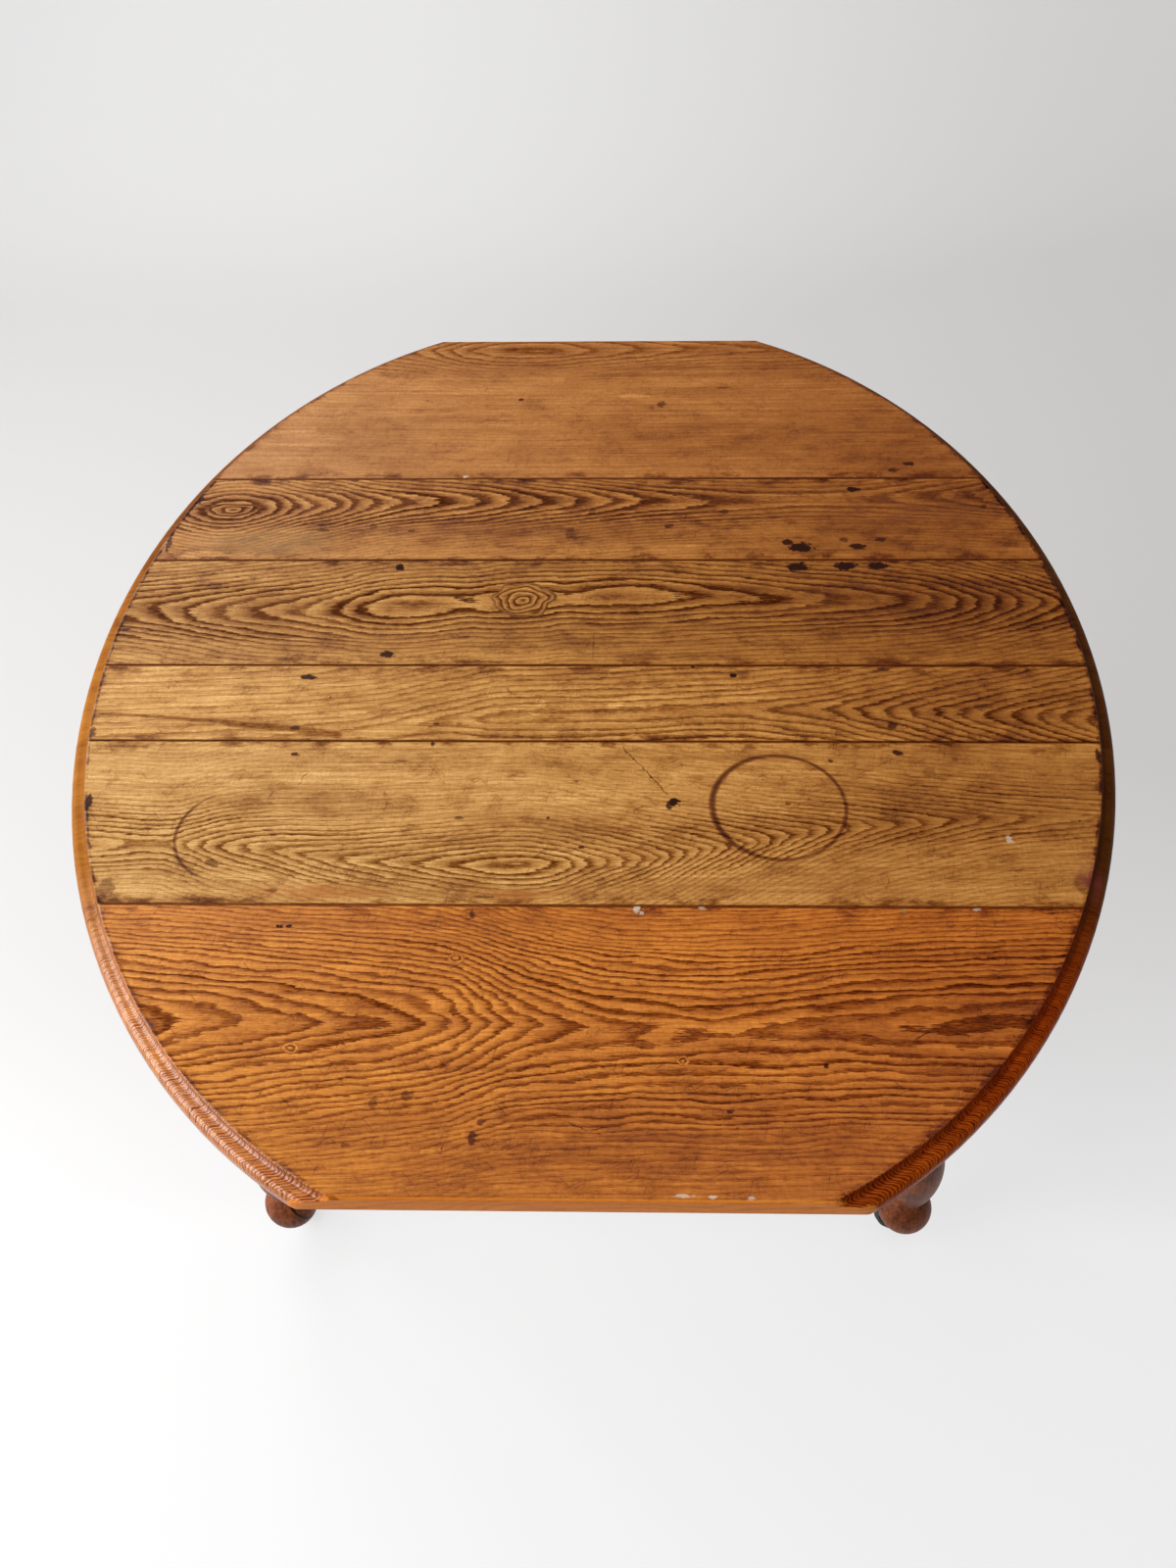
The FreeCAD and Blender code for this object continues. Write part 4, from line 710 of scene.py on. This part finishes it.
    def make(self):
        """The board's finished material."""
        band, grain = self.figure()
        marks = self.marks()
        worn = self.wear()
        soil = self.soil()
        stripe = self.end_grain()
        # Painted shade: this sum carries the painted shade on the right along with dirt, wear and marks.
        age_and_shade = self.dirt() + worn + marks * 3.4
        layers = grain * (1.0 - self.rim * 0.85) + age_and_shade * self.upper * (1.0 - self.rim * 0.8)
        layers = layers + self.rim * self.rim_layers(stripe) + self.look["stain"]
        # Painted highlight: the ends take fewer layers of brown and stay brighter.
        layers = layers * (1.0 - self.ends * 0.6) + soil * 3.4
        colour = self.with_marks(self.through_brown(self.clean_wood(), layers), marks)
        colour = self.blend(self.under, colour, self.underside(band))
        roughness = self.look["gloss"] + (self.mottle - 0.5) * 0.25 + self.pores * band * 0.2
        roughness = roughness + self.under * 0.3 - self.rim * 0.17
        self.add_relief(band, worn, stripe)
        self.add_shine(self.largest([marks, soil, band]), stripe)
        return self.finish(colour, roughness)


def turned_wood(name):
    """Dark brown varnished wood of the legs, with a crack in the near left foot."""
    net = Net(name)
    grain = net.noise(net.x / 2.2, net.y / 2.2, net.z / 60.0, detail=4.0, roughness=0.65)
    patch = net.noise(net.x / 22.0, net.y / 22.0, net.z / 30.0, detail=4.0, roughness=0.6)
    rubbed = net.noise(net.x / 9.0, net.y / 9.0, net.z / 5.0, detail=3.0)
    tone = net.ramp(grain * 0.55 + patch * 0.45 + rubbed * 0.2, 0.42, 0.80)
    colour = net.blend(tone, LEG_DARK, LEG_LIGHT)
    slant = net.x + 353.0 + (net.z - 80.0) * 0.7 + (rubbed - 0.5) * 4.0
    crack = net.ramp(abs(slant), 2.2, 0.6) * net.ramp(net.z, 102.0, 94.0) * net.ramp(net.y, 0.0, -50.0)
    colour = net.blend(crack, colour, STAIN)
    net.bump(grain - crack * 2.0, 0.0004, 0.6)
    return net.finish(colour, 0.34 + patch * 0.2, Specular_IOR_Level=0.14)


def sawn_wood(name, along, light, dark, rough):
    """Plain straight-grained wood whose grain runs along one axis."""
    net = Net(name)
    stretch = [110.0 if axis == along else 2.4 for axis in "xyz"]
    fine = [40.0 if axis == along else 0.8 for axis in "xyz"]
    here = (net.x, net.y, net.z)
    rings = net.noise(*[v / s for v, s in zip(here, stretch)], detail=3.0, roughness=0.6)
    fibre = net.noise(*[v / s for v, s in zip(here, fine)], detail=2.0)
    patch = net.noise(net.x / 50.0, net.y / 50.0, net.z / 50.0, detail=4.0)
    tone = net.ramp(rings * 0.7 + fibre * 0.35 + patch * 0.3, 0.45, 0.9)
    colour = net.blend(tone, light, dark)
    colour = net.blend(net.ramp(patch, 0.55, 0.8, 0.4), colour, GRIME)
    net.bump(rings + fibre * 0.6, 0.0004)
    return net.finish(colour, rough + patch * 0.15, Specular_IOR_Level=0.15)


def old_metal(name, light, dark, rough, metallic):
    """Dull iron or steel with rubbed and tarnished patches."""
    net = Net(name)
    patch = net.noise(net.x / 9.0, net.y / 9.0, net.z / 9.0, detail=5.0, roughness=0.65)
    speck = net.noise(net.x / 1.3, net.y / 1.3, net.z / 1.3, detail=3.0)
    colour = net.blend(net.ramp(patch * 0.7 + speck * 0.35, 0.4, 0.75), dark, light)
    net.bump(speck + patch, 0.0002)
    return net.finish(colour, rough + speck * 0.2, Metallic=metallic)


def small_piece_materials():
    """The materials of all pieces but the boards, by the starts of their names, the longer ones first."""
    inner_x = sawn_wood("wood_blocks", "x", INNER_LIGHT, INNER_DARK, 0.6)
    inner_y = sawn_wood("wood_slides", "y", INNER_LIGHT, INNER_DARK, 0.6)
    apron_x = sawn_wood("wood_apron_long", "x", APRON_LIGHT, APRON_DARK, 0.3)
    apron_y = sawn_wood("wood_apron_end", "y", APRON_LIGHT, APRON_DARK, 0.3)
    steel = old_metal("steel_screws", STEEL_LIGHT, STEEL_DARK, 0.35, 1.0)
    return {
        "leg_": turned_wood("wood_legs"),
        "apron_near": apron_x,
        "apron_far": apron_x,
        "apron_": apron_y,
        "tenon_pegs": apron_y,
        "slide_keepers": inner_x,
        "slide_": inner_y,
        "corner_block_screws": steel,
        "corner_block_": inner_x,
        "button_screws": steel,
        "keeper_screws": steel,
        "hinge_screws": steel,
        "hinge_pins": steel,
        "hinge_": old_metal("iron_hinges", IRON_LIGHT, IRON_DARK, 0.45, 0.8),
        "top_buttons": inner_x,
        "board_dowels": inner_y,
        "caster_wheel": old_metal("black_wheels", WHEEL_LIGHT, WHEEL_DARK, 0.5, 0.0),
        "caster_": old_metal("iron_casters", CASTER_LIGHT, CASTER_DARK, 0.4, 0.6),
    }


def dress():
    """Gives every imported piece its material."""
    boards = {name: Board(name, look).make() for name, look in BOARDS.items()}
    others = small_piece_materials()
    for name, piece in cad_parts.items():
        material = boards.get(name)
        if material is None:
            start = next(start for start in others if name.startswith(start))
            material = others[start]
        for slot in piece.material_slots:
            slot.material = material


def floor_material():
    """Pale paper on which the table keeps its shadow, glowing for camera, glossy and transmission rays with
    painted light that is brightest on the near side, dims far off and in painted shade towards the right,
    and rises again up the wall.
    """
    net = Net("pale_floor")
    tint = net.noise(net.x / 700.0, net.y / 700.0, net.z / 700.0, detail=2.0)
    net.finish(net.blend(tint, (0.82, 0.82, 0.825), (0.79, 0.79, 0.795)), 0.8, Specular_IOR_Level=0.1)
    # Painted light and shade: the glow is brightest near the table, dims far off and towards the right, and
    # rises again up the wall.
    painted_floor_light = net.curve(net.y, [(-1500, 1.0), (-400, 1.0), (-180, 0.80), (300, 0.34), (900, 0.14), (1500, 0.1),
                              (2300, 0.42), (2700, 0.46)])
    painted_floor_light = painted_floor_light - net.ramp(net.x, -700.0, 1300.0, 0.34) * net.ramp(net.y, -300.0, 700.0) + 0.06
    seen = net.nodes.new("ShaderNodeLightPath")
    glow = net.nodes.new("ShaderNodeEmission")
    net.feed(glow.inputs["Color"], net.blend(painted_floor_light, (0.60, 0.59, 0.58), (1.04, 1.04, 1.045)))
    both = net.nodes.new("ShaderNodeMixShader")
    shown = net.largest([Value(net, seen.outputs[ray]) for ray in SEEN_BY])
    net.feed(both.inputs[0], shown * 0.65)
    net.links.new(net.shader.outputs[0], both.inputs[1])
    net.links.new(glow.outputs[0], both.inputs[2])
    net.links.new(both.outputs[0], net.nodes["Material Output"].inputs["Surface"])
    return net.material


def studio():
    """A pale floor that sweeps up into a wall behind the table."""
    sweep_y = wall_y - sweep_radius
    profile = [(-floor_reach, 0.0), (sweep_y, 0.0)]
    for step in range(1, sweep_steps + 1):
        angle = math.pi / 2 * step / sweep_steps
        y = sweep_y + sweep_radius * math.sin(angle)
        z = sweep_radius - sweep_radius * math.cos(angle)
        profile.append((y, z))
    profile.append((wall_y, wall_height))
    points = [(x, y, z) for y, z in profile for x in (-floor_reach, floor_reach)]
    faces = [(2 * i, 2 * i + 1, 2 * i + 3, 2 * i + 2) for i in range(len(profile) - 1)]
    mesh = bpy.data.meshes.new("studio_floor")
    mesh.from_pydata(points, [], faces)
    mesh.polygons.foreach_set("use_smooth", [True] * len(faces))
    mesh.materials.append(floor_material())
    floor = bpy.data.objects.new("studio_floor", mesh)
    bpy.context.scene.collection.objects.link(floor)


def area_light(name, place, target, size, power, colour):
    """A soft rectangular light at one place, turned to another."""
    light = bpy.data.lights.new(name, "AREA")
    light.shape = "RECTANGLE"
    light.size, light.size_y = size
    light.energy = power
    light.color = colour
    lamp = bpy.data.objects.new(name, light)
    lamp.location = place
    lamp.rotation_euler = (Vector(target) - Vector(place)).to_track_quat("-Z", "Y").to_euler()
    bpy.context.scene.collection.objects.link(lamp)


def lighting():
    """A window on the left, a weaker panel behind it and one above, and an even pale surround."""
    area_light("window", (-2.2, -0.45, 1.6), (0.0, -0.45, 0.75), (3.1, 1.8), 80.0, (1.0, 0.98, 0.96))
    area_light("panel", (-1.3, 1.6, 2.1), (0.0, 0.1, 0.75), (1.4, 1.0), 28.0, (1.0, 0.98, 0.96))
    area_light("top", (0.2, -0.4, 3.2), (0.0, 0.0, 0.7), (2.2, 2.2), 22.0, (1.0, 0.99, 0.98))
    world = bpy.data.worlds.new("surround")
    world.use_nodes = True
    surround = world.node_tree.nodes["Background"]
    surround.inputs["Color"].default_value = (0.96, 0.98, 1.0, 1.0)
    surround.inputs["Strength"].default_value = 0.2
    bpy.context.scene.world = world


def camera():
    """The camera of the photograph: above the near leaf, looking down at the table."""
    pitch = math.radians(camera_pitch)
    roll = math.radians(camera_roll)
    right = Vector((1, 0, 0))
    ahead = Vector((0, math.cos(pitch), -math.sin(pitch)))
    down = ahead.cross(right)
    across = math.cos(roll) * right + math.sin(roll) * down
    upward = math.sin(roll) * right - math.cos(roll) * down
    axes = Matrix((across, upward, -ahead)).transposed()
    turned = Matrix.Rotation(math.radians(camera_turn), 3, "Z") @ axes
    lens = bpy.data.cameras.new("camera")
    lens.lens = camera_lens
    lens.sensor_width = sensor_width
    view = bpy.data.objects.new("camera", lens)
    view.matrix_world = Matrix.Translation(camera_place) @ turned.to_4x4()
    bpy.context.scene.collection.objects.link(view)
    bpy.context.scene.camera = view


dress()
studio()
lighting()
camera()
bpy.context.scene.view_settings.view_transform = "Standard"
